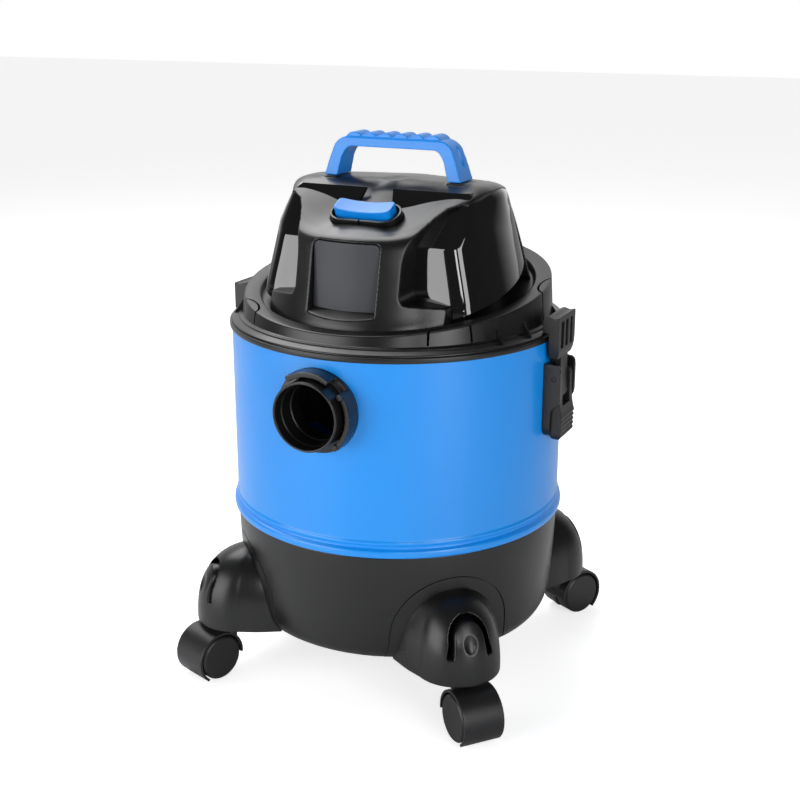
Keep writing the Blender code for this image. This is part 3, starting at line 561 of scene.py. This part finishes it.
def make_latches():
    """Bracket, ribbed lever and slotted hook of each draw latch."""
    bracket = brick("bracket", (0.145, -0.020, 0.236), (0.1645, 0.020, 0.303))
    profile = fillet([(0.140, 0.236, 0.0), (0.1560, 0.236, 0.004), (0.1562, 0.262, 0.004), (0.1645, 0.268, 0.008),
                      (0.1645, 0.303, 0.0078), (0.1500, 0.303, 0.003), (0.140, 0.303, 0.0)], 0.002, parts=8)
    keep = prism("bracket_keep", profile, -0.03, 0.03, TO_XZ)
    work(bracket, keep, operation="INTERSECT")
    face = fillet([(-0.020, 0.236, 0.012), (0.020, 0.236, 0.012), (0.020, 0.310, 0.0), (-0.020, 0.310, 0.0)],
                  0.0, parts=8)
    work(bracket, prism("bracket_face", face, 0.10, 0.20, TO_YZ), operation="INTERSECT")
    work(bracket, brick("channel", (0.1535, -0.0169, 0.243), (0.18, 0.0169, 0.32)))
    moulded(bracket, 0.0005, 3)
    work(bracket, cylinder("ear_bore", "Y", PIN_HOLE, -0.03, 0.03, (PIVOT[0], 0.0, PIVOT[1]), 32))
    work(bracket, drum_room("drum_room"))

    ribs = []
    for rib in range(5):
        z = 0.2545 - rib * 0.0040
        ribs += [(0.1662 - 0.0001 * rib, z, 0.0008), (0.1646, z - 0.0020, 0.0005)]
    outline = [*arc(PIVOT, 0.0046, 0.0, 180.0, 13), (0.1539, 0.262), (0.1545, 0.238), (0.1572, 0.2335),
               (0.1620, 0.2335)]
    outline = fillet([*[(x, z, 0.0) for x, z in outline], *reversed(ribs), (0.1650, 0.258, 0.003),
                      (0.1635, 0.266, 0.003)], 0.0)
    lever = prism("lever", outline, -0.0165, 0.0165, TO_XZ)
    work(lever, brick("tongue_slot", (0.14, -0.0092, 0.264), (0.18, 0.0092, 0.30)))
    cheek = fillet([(-0.0165, 0.2335, 0.007), (0.0165, 0.2335, 0.007), (0.0165, 0.30, 0.0),
                    (-0.0165, 0.30, 0.0)], 0.0, parts=8)
    work(lever, prism("lever_face", cheek, 0.10, 0.20, TO_YZ), operation="INTERSECT")
    moulded(lever, 0.0004, 2)
    for low, high in ((-0.0197, -0.012), (0.012, 0.0197)):
        join(lever, cylinder("trunnion", "Y", 0.002, low, high, (PIVOT[0], 0.0, PIVOT[1]), 32))
    work(lever, cylinder("link_bore", "Y", PIN_HOLE, -0.03, 0.03, (LINK[0], 0.0, LINK[1]), 32))

    head = fillet([(0.1469, 0.3425, 0.003), (0.1469, 0.3305, 0.0008), (0.1524, 0.3297, 0.0008),
                   (0.1524, 0.306, 0.001), (0.1598, 0.306, 0.003), (0.1620, 0.313, 0.004),
                   (0.1620, 0.3448, 0.0012), (0.1570, 0.3432, 0.006), (0.1515, 0.3453, 0.003)], 0.001, parts=6)
    hook = prism("hook", head, -0.021, 0.021, TO_XZ)
    taper = fillet([(-0.021, 0.350, 0.0), (0.021, 0.350, 0.0), (0.021, 0.318, 0.006), (0.0165, 0.3055, 0.003),
                    (-0.0165, 0.3055, 0.003), (-0.021, 0.318, 0.006)], 0.0, parts=6)
    work(hook, prism("hook_face", taper, 0.10, 0.20, TO_YZ), operation="INTERSECT")
    for slit in range(3):
        y = -0.0115 + slit * 0.0115
        hole = fillet([(y - 0.0034, 0.3165), (y + 0.0034, 0.3165), (y + 0.0034, 0.3395),
                       (y - 0.0034, 0.3395)], 0.0008)
        work(hook, prism("slit", hole, 0.1565, 0.17, TO_YZ))
    eye = [*arc(LINK, 0.0038, 180.0, 360.0, 13), (0.1605, 0.290), (0.1605, 0.312), (0.1545, 0.312),
           (0.1545, 0.290)]
    join(hook, prism("tongue", eye, -0.0088, 0.0088, TO_XZ))
    moulded(hook, 0.00045, 3)
    work(hook, cylinder("hook_bore", "Y", PIN_HOLE, -0.03, 0.03, (LINK[0], 0.0, LINK[1]), 32))

    for side, turn in (("right", Matrix.Identity(4)), ("left", HALF_TURN)):
        fixed = twin(bracket, "bracket_shell_" + side, turn)
        dressed(fixed, BLACK, "root", "black_plastic", "latch_bracket_" + side)
        grip = twin(lever, "lever_shell_" + side, turn)
        dressed(grip, COARSE, "lever_" + side, "black_plastic", "latch_lever_" + side)
        catch = twin(hook, "hook_shell_" + side, turn)
        dressed(catch, COARSE, "hook_" + side, "black_plastic", "latch_hook_" + side)
    for made in (bracket, lever, hook):
        bpy.data.objects.remove(made, do_unlink=True)


# ---- lid ------------------------------------------------------------------------------
BOSSES = (-44.0, 44.0, 98.0, -98.0, 152.0, -152.0)
GUSSETS = (62.0, 75.5, 104.5, -62.0, -75.5, -104.5)


def tilted(made):
    """Lean the upper part of the lid forward, as its ring and deck do."""
    for vertex in made.data.vertices:
        share = min(max((vertex.co.z - TILT_START) / (TILT_FULL - TILT_START), 0.0), 1.0)
        vertex.co.z += SLOPE * vertex.co.y * share
    return made


def boss_outline(grow):
    """Half-round end of a ring boss in its radial frame, open past the ring's wall."""
    half = 0.0205 + grow
    nose = [(0.1425 - (0.0135 + grow) * cos(radians(a)) ** 0.8, half * sin(radians(a)))
            for a in range(-85, 86, 5)]
    return [(0.150, -half), *nose, (0.150, half)]


def make_lid():
    """Lid with its flange, tilted ring, deck and the half-round bosses let into the ring."""
    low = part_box("head_lid")[0][2]
    seat = RIM_TOP + GAP
    under = DECK - 0.003
    profile = fillet([(0.1380, RING, 0.0016), (0.1402, 0.3325, 0.002), (0.1435, 0.3318, 0.0008),
                      (0.1440, 0.3306, 0.0006), (0.1500, 0.3285, 0.0012), (0.1504, seat, 0.0006),
                      (0.1446, seat, 0.0), (0.1440, low, 0.0006), (0.1415, low, 0.0006), (0.1375, 0.3285, 0.0),
                      (0.1360, 0.3570, 0.0), (0.1267, 0.3570, 0.0), (0.126, under, 0.0), (0.062, under, 0.0),
                      (0.062, DECK, 0.0006), (0.1225, DECK, 0.002), (0.1238, RING - 0.0012, 0.0014)], 0.001)
    lid = tilted(lathe("lid_shell", profile, 256))
    for azimuth in BOSSES:
        ring = prism("boss_out", boss_outline(0.0), 0.3335, 0.42)
        work(ring, prism("boss_in", boss_outline(-0.0019), 0.32, 0.43))
        ring.data.transform(heading(azimuth))
        work(lid, ring)
    for turn in (Matrix.Identity(4), HALF_TURN):
        notch = brick("latch_notch", (0.1463, -0.0225, 0.32), (0.17, 0.0225, 0.34))
        notch.data.transform(turn)
        work(lid, notch)
    gusset = fillet([(0.1375, 0.330), (0.1478, 0.3285), (0.1478, 0.3300), (0.1400, 0.3415), (0.1375, 0.3415)],
                    0.0004)
    for azimuth in GUSSETS:
        join(lid, prism("gusset", gusset, -0.0009, 0.0009, heading(azimuth) @ TO_XZ))
    dressed(lid, BLACK, "head", "black_plastic", "head_lid", sharp=28.0)


# ---- head shell -----------------------------------------------------------------------
FRONT = [(0.1195, 0.336), (0.1135, 0.352), (0.1085, 0.375), (0.104, 0.398), (0.099, 0.4105),
         (0.087, 0.4158), (0.074, 0.420), (0.060, 0.4256), (0.044, 0.4335), (0.028, 0.443), (0.012, 0.4492)]
SIDE = [(0.1205, 0.353), (0.117, 0.368), (0.111, 0.392), (0.106, 0.413), (0.102, 0.430),
        (0.098, 0.4425), (0.089, 0.4482), (0.074, 0.4494), (0.054, 0.4497), (0.034, 0.4501), (0.012, 0.4505)]
BACK = [(0.1205, 0.370), (0.117, 0.380), (0.112, 0.394), (0.106, 0.408), (0.099, 0.420),
        (0.090, 0.430), (0.077, 0.4385), (0.062, 0.4445), (0.045, 0.4483), (0.028, 0.4498), (0.012, 0.4505)]
FACE_HALF = radians(18.0)                  # the front and back profiles hold this far off their middle
SIDE_FROM = radians(86.0)                  # and the side profile from here
SHELL_LEVELS = 60
SHELL_STEPS = 180
TABLE_STEPS = 160
SEAT = 0.0008                              # the cover's foot over the lid's deck


def along(profile, place):
    """Smooth point on a profile at a place counted in its points (Catmull-Rom)."""
    last = len(profile) - 1
    i = min(int(place), last - 1)
    t = place - i
    spot = []
    for part in (0, 1):
        p0 = profile[max(i - 1, 0)][part]
        p1 = profile[i][part]
        p2 = profile[i + 1][part]
        p3 = profile[min(i + 2, last)][part]
        spot.append(0.5 * (2 * p1 + (p2 - p0) * t + (2 * p0 - 5 * p1 + 4 * p2 - p3) * t * t
                           + (3 * p1 - p0 - 3 * p2 + p3) * t ** 3))
    return spot


def shell_point(place, azimuth):
    """Point on the cover's surface: a place along its profiles, and an azimuth."""
    face = FRONT if cos(azimuth) > 0.0 else BACK
    off_axis = acos(min(1.0, abs(cos(azimuth))))
    turn = min(max((off_axis - FACE_HALF) / (SIDE_FROM - FACE_HALF), 0.0), 1.0)
    share = turn * turn * (3 - 2 * turn)
    near, far = along(face, place), along(SIDE, place)
    radius = near[0] * (1 - share) + far[0] * share
    height = near[1] * (1 - share) + far[1] * share
    if place < 0.5:
        base = DECK + SEAT - SLOPE * radius * cos(azimuth)
        height = base + (height - base) * (place / 0.5)
    return Vector((radius * sin(azimuth), -radius * cos(azimuth), height))


def shell_solid(name):
    """Closed solid under the cover's surface."""
    points = []
    for level in range(SHELL_LEVELS + 1):
        place = (len(FRONT) - 1) * level / SHELL_LEVELS
        points += [shell_point(place, 2 * pi * step / SHELL_STEPS) for step in range(SHELL_STEPS)]
    faces = rings(SHELL_LEVELS, SHELL_STEPS)
    top = len(points)
    points.append(Vector((0.0, 0.0, points[-1].z)))
    bottom = len(points)
    points.append(Vector((0.0, 0.0, DECK + SEAT)))
    for step in range(SHELL_STEPS):
        after = (step + 1) % SHELL_STEPS
        faces.append((SHELL_LEVELS * SHELL_STEPS + step, SHELL_LEVELS * SHELL_STEPS + after, top))
        faces.append((after, step, bottom))
    return tidy_up(thing(name, points, faces))


def window_outline():
    """Side window of the cover in (x, z): foot ledge, column edge, arch and shoulder."""
    corners = [(0.084, 0.325, 0.0), (0.084, 0.357, 0.002), (0.052, 0.3605, 0.003), (0.049, 0.366, 0.004),
               (0.0492, 0.398, 0.008), (0.0535, 0.413, 0.008), (0.0646, 0.4278, 0.008),
               (0.0705, 0.4342, 0.006), (0.078, 0.4365, 0.008), (0.0883, 0.4405, 0.008),
               (0.0945, 0.446, 0.004), (0.150, 0.470, 0.0), (0.150, 0.325, 0.0)]
    return fillet(corners, 0.004, parts=6)


POCKET_FLOOR = 0.0935                      # radius left standing behind the side domes
POCKET_BACK = -0.040                       # and how far forward it reaches
LEG_AT = 0.0605                            # middle of each leg of the handle


def pad_block(sign):
    """Flared upstand under one leg of the handle."""
    corners = [(0.0520, -0.0152), (0.0690, -0.0152), (0.0690, 0.0152), (0.0520, 0.0152)]
    flare = [(0.030, 1.55), (0.020, 1.30), (0.010, 1.08), (0.0, 1.0)]
    points = []
    for drop, wide in flare:
        ring = [(LEG_AT + (x - LEG_AT) * wide, y * wide) for x, y in corners]
        height = HANDLE_LOW[2] - 0.0004 - drop * 0.8
        points += [(sign * x, y, height) for x, y in fillet(ring, 0.006 * wide)]
    count = len(points) // len(flare)
    faces = [tuple(range(count))[::-1], tuple(range(3 * count, 4 * count))]
    faces += rings(len(flare) - 1, count)
    return tidy_up(thing("handle_pad", points, faces))


LABEL_HALF = 0.0315
LABEL_TOP = 0.4095


def make_cover():
    """Motor cover: side windows with deep edges, label recess, handle pads."""
    cover = shell_solid("cover_shell")
    for sign in (1.0, -1.0):
        join(cover, pad_block(sign))

    for sign in (1.0, -1.0):
        pocket = prism("window", window_outline(), -0.052, 0.150, TO_XZ)
        if sign < 0:
            pocket.data.transform(FLIP_X)
            pocket.data.flip_normals()
        core = cylinder("pocket_floor", "Z", POCKET_FLOOR, 0.30, 0.50, steps=192)
        work(core, brick("pocket_front", (-0.2, -0.2, 0.25), (0.2, POCKET_BACK, 0.55)))
        work(pocket, core)
        work(cover, pocket)

    side_view = [(-0.14, 0.3335), (-0.1040, 0.3525), (-0.08, 0.3525), (-0.08, LABEL_TOP), (-0.14, LABEL_TOP)]
    recess = prism("label_recess", side_view, -LABEL_HALF, LABEL_HALF, TO_YZ)
    corners = fillet([(-LABEL_HALF, 0.32, 0.0), (LABEL_HALF, 0.32, 0.0), (LABEL_HALF, LABEL_TOP, 0.007),
                      (-LABEL_HALF, LABEL_TOP, 0.007)], 0.0, parts=8)
    work(recess, prism("label_corners", corners, 0.05, 0.16, TO_XZ), operation="INTERSECT")
    keep = lathe("label_back", [(0.0975, 0.42), (0.1025, 0.335), (0.0, 0.335), (0.0, 0.42)], 120)
    work(recess, keep)
    work(cover, recess)
    work(cover, switch_block("switch_room", 0.0333, 0.0148, -0.012, 0.03))
    moulded(cover, 0.0009, 4)
    trim_back(cover)
    dressed(cover, BLACK, "head", "black_plastic", "motor_cover", sharp=0.0)


BLOWER_AT = (0.0, 0.0, 0.402)


def trim_back(cover):
    """Make room for the motor and the fan, and open the rear outlet."""
    room = fillet([(0.0, 0.4400), (0.0055, 0.4400), (0.0055, 0.4294), (0.0428, 0.4294), (0.0428, 0.385),
                   (0.0700, 0.372), (0.0700, 0.325), (0.0, 0.325)], 0.0)
    work(cover, lathe("motor_room", room, 96))
    work(cover, cylinder("blower_hole", "Y", 0.0224, 0.03, 0.15, BLOWER_AT, 48))


def make_panel():
    """Slate label panel, blank, bent to the recess's back."""
    sheet = fillet([(0.1003, 0.4085, 0.0004), (0.1051, 0.3470, 0.0004), (0.1039, 0.3470, 0.0),
                    (0.0990, 0.4085, 0.0)], 0.0003)
    panel = lathe("label_plate", sheet, 360)
    plan = fillet([(-0.0308, 0.3520, 0.001), (0.0308, 0.3520, 0.001), (0.0308, 0.4083, 0.006),
                   (-0.0308, 0.4083, 0.006)], 0.001, parts=6)
    work(panel, prism("label_cut", plan, 0.06, 0.14, TO_XZ), operation="INTERSECT")
    dressed(panel, SLATE, "head", "slate_panel", "label_panel")


DOME_START = radians(20.0)
DOME_END = radians(130.0)
DOME_TOP = 0.4455
DOME_INSET = 0.0014                        # the dome's face behind the cover's
DOME_FACE = 0.0695                         # its flat front face, from the axis
DOME_FOOT = 0.118                          # radius at which its lower edge is set out
CREASE = 0.4140
BOXY = 22.0                                # how square the face and the side meet


def eased(value, low, high):
    """Smooth step from 0 at low to 1 at high."""
    t = min(max((value - low) / (high - low), 0.0), 1.0)
    return t * t * (3 - 2 * t)


def shell_radius(azimuth):
    """Heights and radii of the cover's surface at an azimuth, from its base upwards."""
    last = len(FRONT) - 1
    spots = [shell_point(last * step / TABLE_STEPS, azimuth) for step in range(TABLE_STEPS + 1)]
    return [(spot.z, hypot(spot.x, spot.y)) for spot in spots]


def radius_at(table, height):
    """Radius of the surface at a height."""
    for (low, wide), (high, narrow) in zip(table, table[1:]):
        if low <= height <= high and high > low:
            return wide + (narrow - wide) * (height - low) / (high - low)
    return table[0][1] if height < table[0][0] else table[-1][1]


def make_domes():
    """Glossy side domes: a flat face behind the front column, a shoulder crease, flush behind."""
    wide, tall = 132, 80
    columns = []
    for step in range(wide + 1):
        angle = DOME_START + (DOME_END - DOME_START) * step / wide
        table = shell_radius(max(angle, pi / 2))
        tuck = 0.010 * eased(angle, radians(106.0), radians(130.0))
        sill = DECK + 0.27 * (0.0625 - DOME_FOOT * cos(angle))
        corner = eased(angle, radians(44.0), radians(58.0))
        deck = DECK + 0.0012 - SLOPE * DOME_FOOT * cos(angle)
        low = deck * (1 - corner) + max(sill, deck) * corner
        crease = CREASE - 0.010 * (1 - eased(angle, radians(30.0), radians(60.0)))
        column = []
        for level in range(tall + 1):
            height = low + (DOME_TOP - low) * level / tall
            lean = max(0.0, height - crease)
            radius = radius_at(table, height) - DOME_INSET - tuck
            radius -= lean * 0.20 * (1 - eased(angle, radians(70.0), radians(96.0)))
            if cos(angle) > 0.02:
                front = DOME_FACE - (height - 0.366) * 0.10 - max(0.0, height - 0.404) * 0.65
                radius = (radius ** -BOXY + (front / cos(angle)) ** -BOXY) ** (-1 / BOXY)
            column.append((radius * sin(angle), -radius * cos(angle), height))
        columns.append(column)
    points = [columns[step][level] for level in range(tall + 1) for step in range(wide + 1)]
    faces = []
    row = wide + 1
    for level in range(tall):
        for step in range(wide):
            here = level * row + step
            faces.append((here, here + 1, here + row + 1, here + row))
    made = tidy_up(thing("side_dome", points, faces), 1e-7)
    wall = made.modifiers.new("wall", "SOLIDIFY")
    wall.thickness = 0.0022
    wall.offset = -1.0
    settled(made)
    for side, turn in (("right", Matrix.Identity(4)), ("left", FLIP_X)):
        shell = twin(made, "gloss_dome_" + side, turn)
        dressed(shell, GLOSS, "head", "gloss_black", "side_dome_" + side, sharp=50.0)
    bpy.data.objects.remove(made, do_unlink=True)


# ---- handle and switch ----------------------------------------------------------------
RIBS = 6
RIB_PITCH = 0.0152
RIB_RADIUS = 0.0093
RIB_RISE = 0.0040


def make_handle():
    """Carrying handle: flared legs, a flat-faced grip and six scalloped ribs."""
    foot = HANDLE_LOW[2]
    crown = HANDLE_HIGH[2]
    level = crown - RIB_RISE
    half = HANDLE_HIGH[1]
    outer = [(-0.0663, foot, 0.0), (-0.0612, 0.4670, 0.01), (-0.0560, 0.4800, 0.010), (-0.0475, level, 0.008)]
    inner = [(0.0537, foot, 0.0), (0.0490, 0.4690, 0.004), (0.0430, 0.4768, 0.009)]
    outline = fillet([*outer, *[(-x, z, f) for x, z, f in reversed(outer)], *inner,
                      *[(-x, z, f) for x, z, f in reversed(inner)]], 0.004, parts=8)
    handle = prism("handle", outline, -half, half, TO_XZ)
    waist = [(half, foot, 0.0), (half - 0.0006, 0.460, 0.01), (0.0118, 0.474, 0.01),
             (0.0112, level - 0.001, 0.002), (0.0095, level, 0.002)]
    waist = fillet([*waist, *[(-y, z, f) for y, z, f in reversed(waist)]], 0.0, parts=6)
    work(handle, prism("handle_waist", waist, -0.10, 0.10, TO_YZ), operation="INTERSECT")
    for rib in range(RIBS):
        x = (rib - (RIBS - 1) / 2) * RIB_PITCH
        lump = cylinder("rib", "Y", RIB_RADIUS, -0.0100, 0.0108, (x, 0.0, crown - RIB_RADIUS), 48)
        work(lump, brick("rib_keep", (x - 0.02, -0.02, level - 0.003), (x + 0.02, 0.02, crown + 0.01)),
             operation="INTERSECT")
        join(handle, lump)
    for sign in (1.0, -1.0):
        slot = ball("leg_slot", (sign * LEG_AT, 0.0015, 0.4722), (0.0042, 0.0032, 0.0105),
                    Matrix.Rotation(sign * radians(-20.0), 4, "Y"))
        work(handle, slot)
    moulded(handle, 0.0006, 3)
    dressed(handle, BLUE, "head", "blue_plastic", "carry_handle", sharp=0.0)


SWITCH_AT = (0.0, -0.060, 0.4255)
SWITCH_LEAN = Matrix.Translation(SWITCH_AT) @ Matrix.Rotation(radians(26.0), 4, "X")


def stadium(half_long, half_short):
    """Outline with round ends."""
    reach = half_long - half_short
    return [*arc((reach, 0.0), half_short, -90.0, 90.0, 25), *arc((-reach, 0.0), half_short, 90.0, 270.0, 25)]


def switch_block(name, half_long, half_short, low, high):
    """Round-ended block in the switch's frame."""
    return prism(name, stadium(half_long, half_short), low, high, SWITCH_LEAN)


def make_switch():
    """Bezel with its notch, and the bowed rocker."""
    bezel = switch_block("bezel", 0.0330, 0.0145, -0.0110, 0.0045)
    work(bezel, switch_block("bezel_room", 0.0308, 0.0124, -0.0085, 0.02))
    work(bezel, prism("bezel_notch", [(-0.0008, -0.02), (0.0008, -0.02), (0.0008, -0.011), (-0.0008, -0.011)],
                      -0.0040, 0.02, SWITCH_LEAN))
    moulded(bezel, 0.0004, 2)
    dressed(bezel, BLACK, "head", "black_plastic", "switch_bezel", sharp=0.0)

    crown = arc((0.0, 0.1315), 0.123, 258.2, 281.8, 21)
    sides = [(0.0270, 0.0113), (0.0262, -0.001), (0.006, -0.0035), (-0.006, -0.0035), (-0.0262, -0.001),
             (-0.0270, 0.0113)]
    body = [*[(x, z, 0.0) for x, z in crown], *[(x, z, 0.003) for x, z in sides]]
    rocker = prism("rocker", fillet(body, 0.002), -0.008, 0.008, TO_XZ)
    plan = fillet([(-0.0272, -0.008), (0.0272, -0.008), (0.0272, 0.008), (-0.0272, 0.008)], 0.0055, parts=8)
    work(rocker, prism("rocker_plan", plan, -0.02, 0.03), operation="INTERSECT")
    moulded(rocker, 0.0004, 4)
    rocker.data.transform(SWITCH_LEAN)
    dressed(rocker, BLUE, "rocker", "blue_plastic", "switch_rocker", sharp=0.0)


# ---- rear outlets and carried-over nodes ----------------------------------------------
def make_rear():
    """Blower outlet with a beaded lip."""
    tube = fillet([(0.0220, 0.1278, 0.0008), (0.0220, 0.1235, 0.0006), (0.0214, 0.1225, 0.0006),
                   (0.0214, 0.086, 0.0005), (0.0195, 0.084, 0.0005), (0.0193, 0.1278, 0.0008)], 0.0006)
    blower = lathe("blower_tube", tube, 96)
    blower.data.transform(Matrix.Translation(BLOWER_AT) @ Matrix.Rotation(-pi / 2, 4, "X"))
    dressed(blower, BLACK, "head", "black_plastic", "blower_port", sharp=30.0)


def dress_nodes():
    """Finishes of the CAD nodes that are shown as they are."""
    finishes = {"black_plastic": BLACK, "steel": STEEL, "seal_rubber": RUBBER, "filter_paper": PAPER,
                "motor_metal": CAST, "float_plastic": FLOAT, "wheel_plastic": TYRE, "blue_plastic": BLUE,
                "blue_paint": PAINT, "gloss_black": GLOSS, "slate_panel": SLATE}
    for part in frame["record"]["subparts"]:
        node = frame["nodes"][part["node"]]
        if node.hide_render:
            continue
        node.data.materials.clear()
        node.data.materials.append(finishes[part["material_slot"]])


# ---- stage ----------------------------------------------------------------------------
CAMERA_AZIMUTH = radians(26.2)
CAMERA_ELEVATION = radians(17.61)
CAMERA_DISTANCE = 1.197
AIM = Vector((0.0, 0.0, 0.2442))
ROOM_DIM = 0.07
ROOM_BRIGHT = 0.9
FLOOR_GLOW = 0.66


def studio_floor():
    """Pale floor that shows white to the camera and takes a soft shadow."""
    pale = surface("pale_floor", (0.90, 0.90, 0.90), (0.88, 0.88, 0.88), 0.7)
    tree = pale.node_tree
    shader = tree.nodes["Principled BSDF"]
    shader.inputs["Emission Color"].default_value = (1.0, 1.0, 1.0, 1.0)
    path = tree.nodes.new("ShaderNodeLightPath")
    glow = tree.nodes.new("ShaderNodeMath")
    glow.operation = "MULTIPLY"
    glow.inputs[1].default_value = FLOOR_GLOW
    links(tree, (path.outputs["Is Camera Ray"], glow.inputs[0]),
          (glow.outputs["Value"], shader.inputs["Emission Strength"]))
    floor = thing("floor", [(-9, -9, 0), (9, -9, 0), (9, 9, 0), (-9, 9, 0)], [(0, 1, 2, 3)])
    floor.data.materials.append(pale)


def studio_world():
    """White behind the object; dimmer and with a bright back wall for what the object reflects."""
    world = bpy.data.worlds.new("studio")
    world.use_nodes = True
    tree = world.node_tree
    place = tree.nodes.new("ShaderNodeTexCoord")
    facing = tree.nodes.new("ShaderNodeVectorMath")
    facing.operation = "DOT_PRODUCT"
    facing.inputs[1].default_value = (-sin(CAMERA_AZIMUTH), cos(CAMERA_AZIMUTH), 0.0)
    wall = tree.nodes.new("ShaderNodeMapRange")
    wall.inputs["From Min"].default_value = 0.25
    wall.inputs["From Max"].default_value = 0.85
    wall.inputs["To Min"].default_value = ROOM_DIM
    wall.inputs["To Max"].default_value = ROOM_BRIGHT
    path = tree.nodes.new("ShaderNodeLightPath")
    shown = tree.nodes.new("ShaderNodeMath")
    shown.operation = "MAXIMUM"
    links(tree, (place.outputs["Generated"], facing.inputs[0]),
          (facing.outputs["Value"], wall.inputs["Value"]), (wall.outputs["Result"], shown.inputs[0]),
          (path.outputs["Is Camera Ray"], shown.inputs[1]),
          (shown.outputs["Value"], tree.nodes["Background"].inputs["Strength"]))
    tree.nodes["Background"].inputs["Color"].default_value = (1.0, 1.0, 1.0, 1.0)
    bpy.context.scene.world = world
    bpy.context.scene.view_settings.view_transform = "Standard"


def make_stage():
    """Pale floor, soft boxes and the camera."""
    studio_floor()
    studio_world()
    # name, azimuth, height, distance, width, tall, power
    lamps = (("left_box", -32.0, 0.55, 1.9, 1.5, 1.2, 22.0), ("right_box", 57.0, 0.65, 1.6, 0.6, 1.15, 10.5),
             ("camera_box", 31.0, 0.85, 1.9, 0.35, 0.5, 4.0), ("top_box", -119.0, 1.85, 1.03, 1.4, 1.4, 27.0))
    for name, azimuth, height, distance, width, tall, power in lamps:
        light = bpy.data.lights.new(name, "AREA")
        light.shape = "RECTANGLE"
        light.size = width
        light.size_y = tall
        light.energy = power
        lamp = bpy.data.objects.new(name, light)
        spot = Vector((sin(radians(azimuth)) * distance, -cos(radians(azimuth)) * distance, height))
        lamp.location = spot
        lamp.rotation_euler = (AIM - spot).to_track_quat("-Z", "Y").to_euler()
        bpy.context.scene.collection.objects.link(lamp)

    lens = bpy.data.cameras.new("camera")
    lens.lens = 57.87
    lens.sensor_width = 36.0
    lens.shift_x = 0.00275
    camera = bpy.data.objects.new("camera", lens)
    out = Vector((sin(CAMERA_AZIMUTH), -cos(CAMERA_AZIMUTH), 0.0)) * cos(CAMERA_ELEVATION)
    out.z = sin(CAMERA_ELEVATION)
    camera.location = AIM + out * CAMERA_DISTANCE
    camera.rotation_euler = (-out).to_track_quat("-Z", "Y").to_euler()
    bpy.context.scene.collection.objects.link(camera)
    bpy.context.scene.camera = camera


make_stage()
make_base()
make_drum()
make_inlet()
make_feet()
make_casters()
make_latches()
make_lid()
make_cover()
make_panel()
make_domes()
make_handle()
make_switch()
make_rear()
dress_nodes()
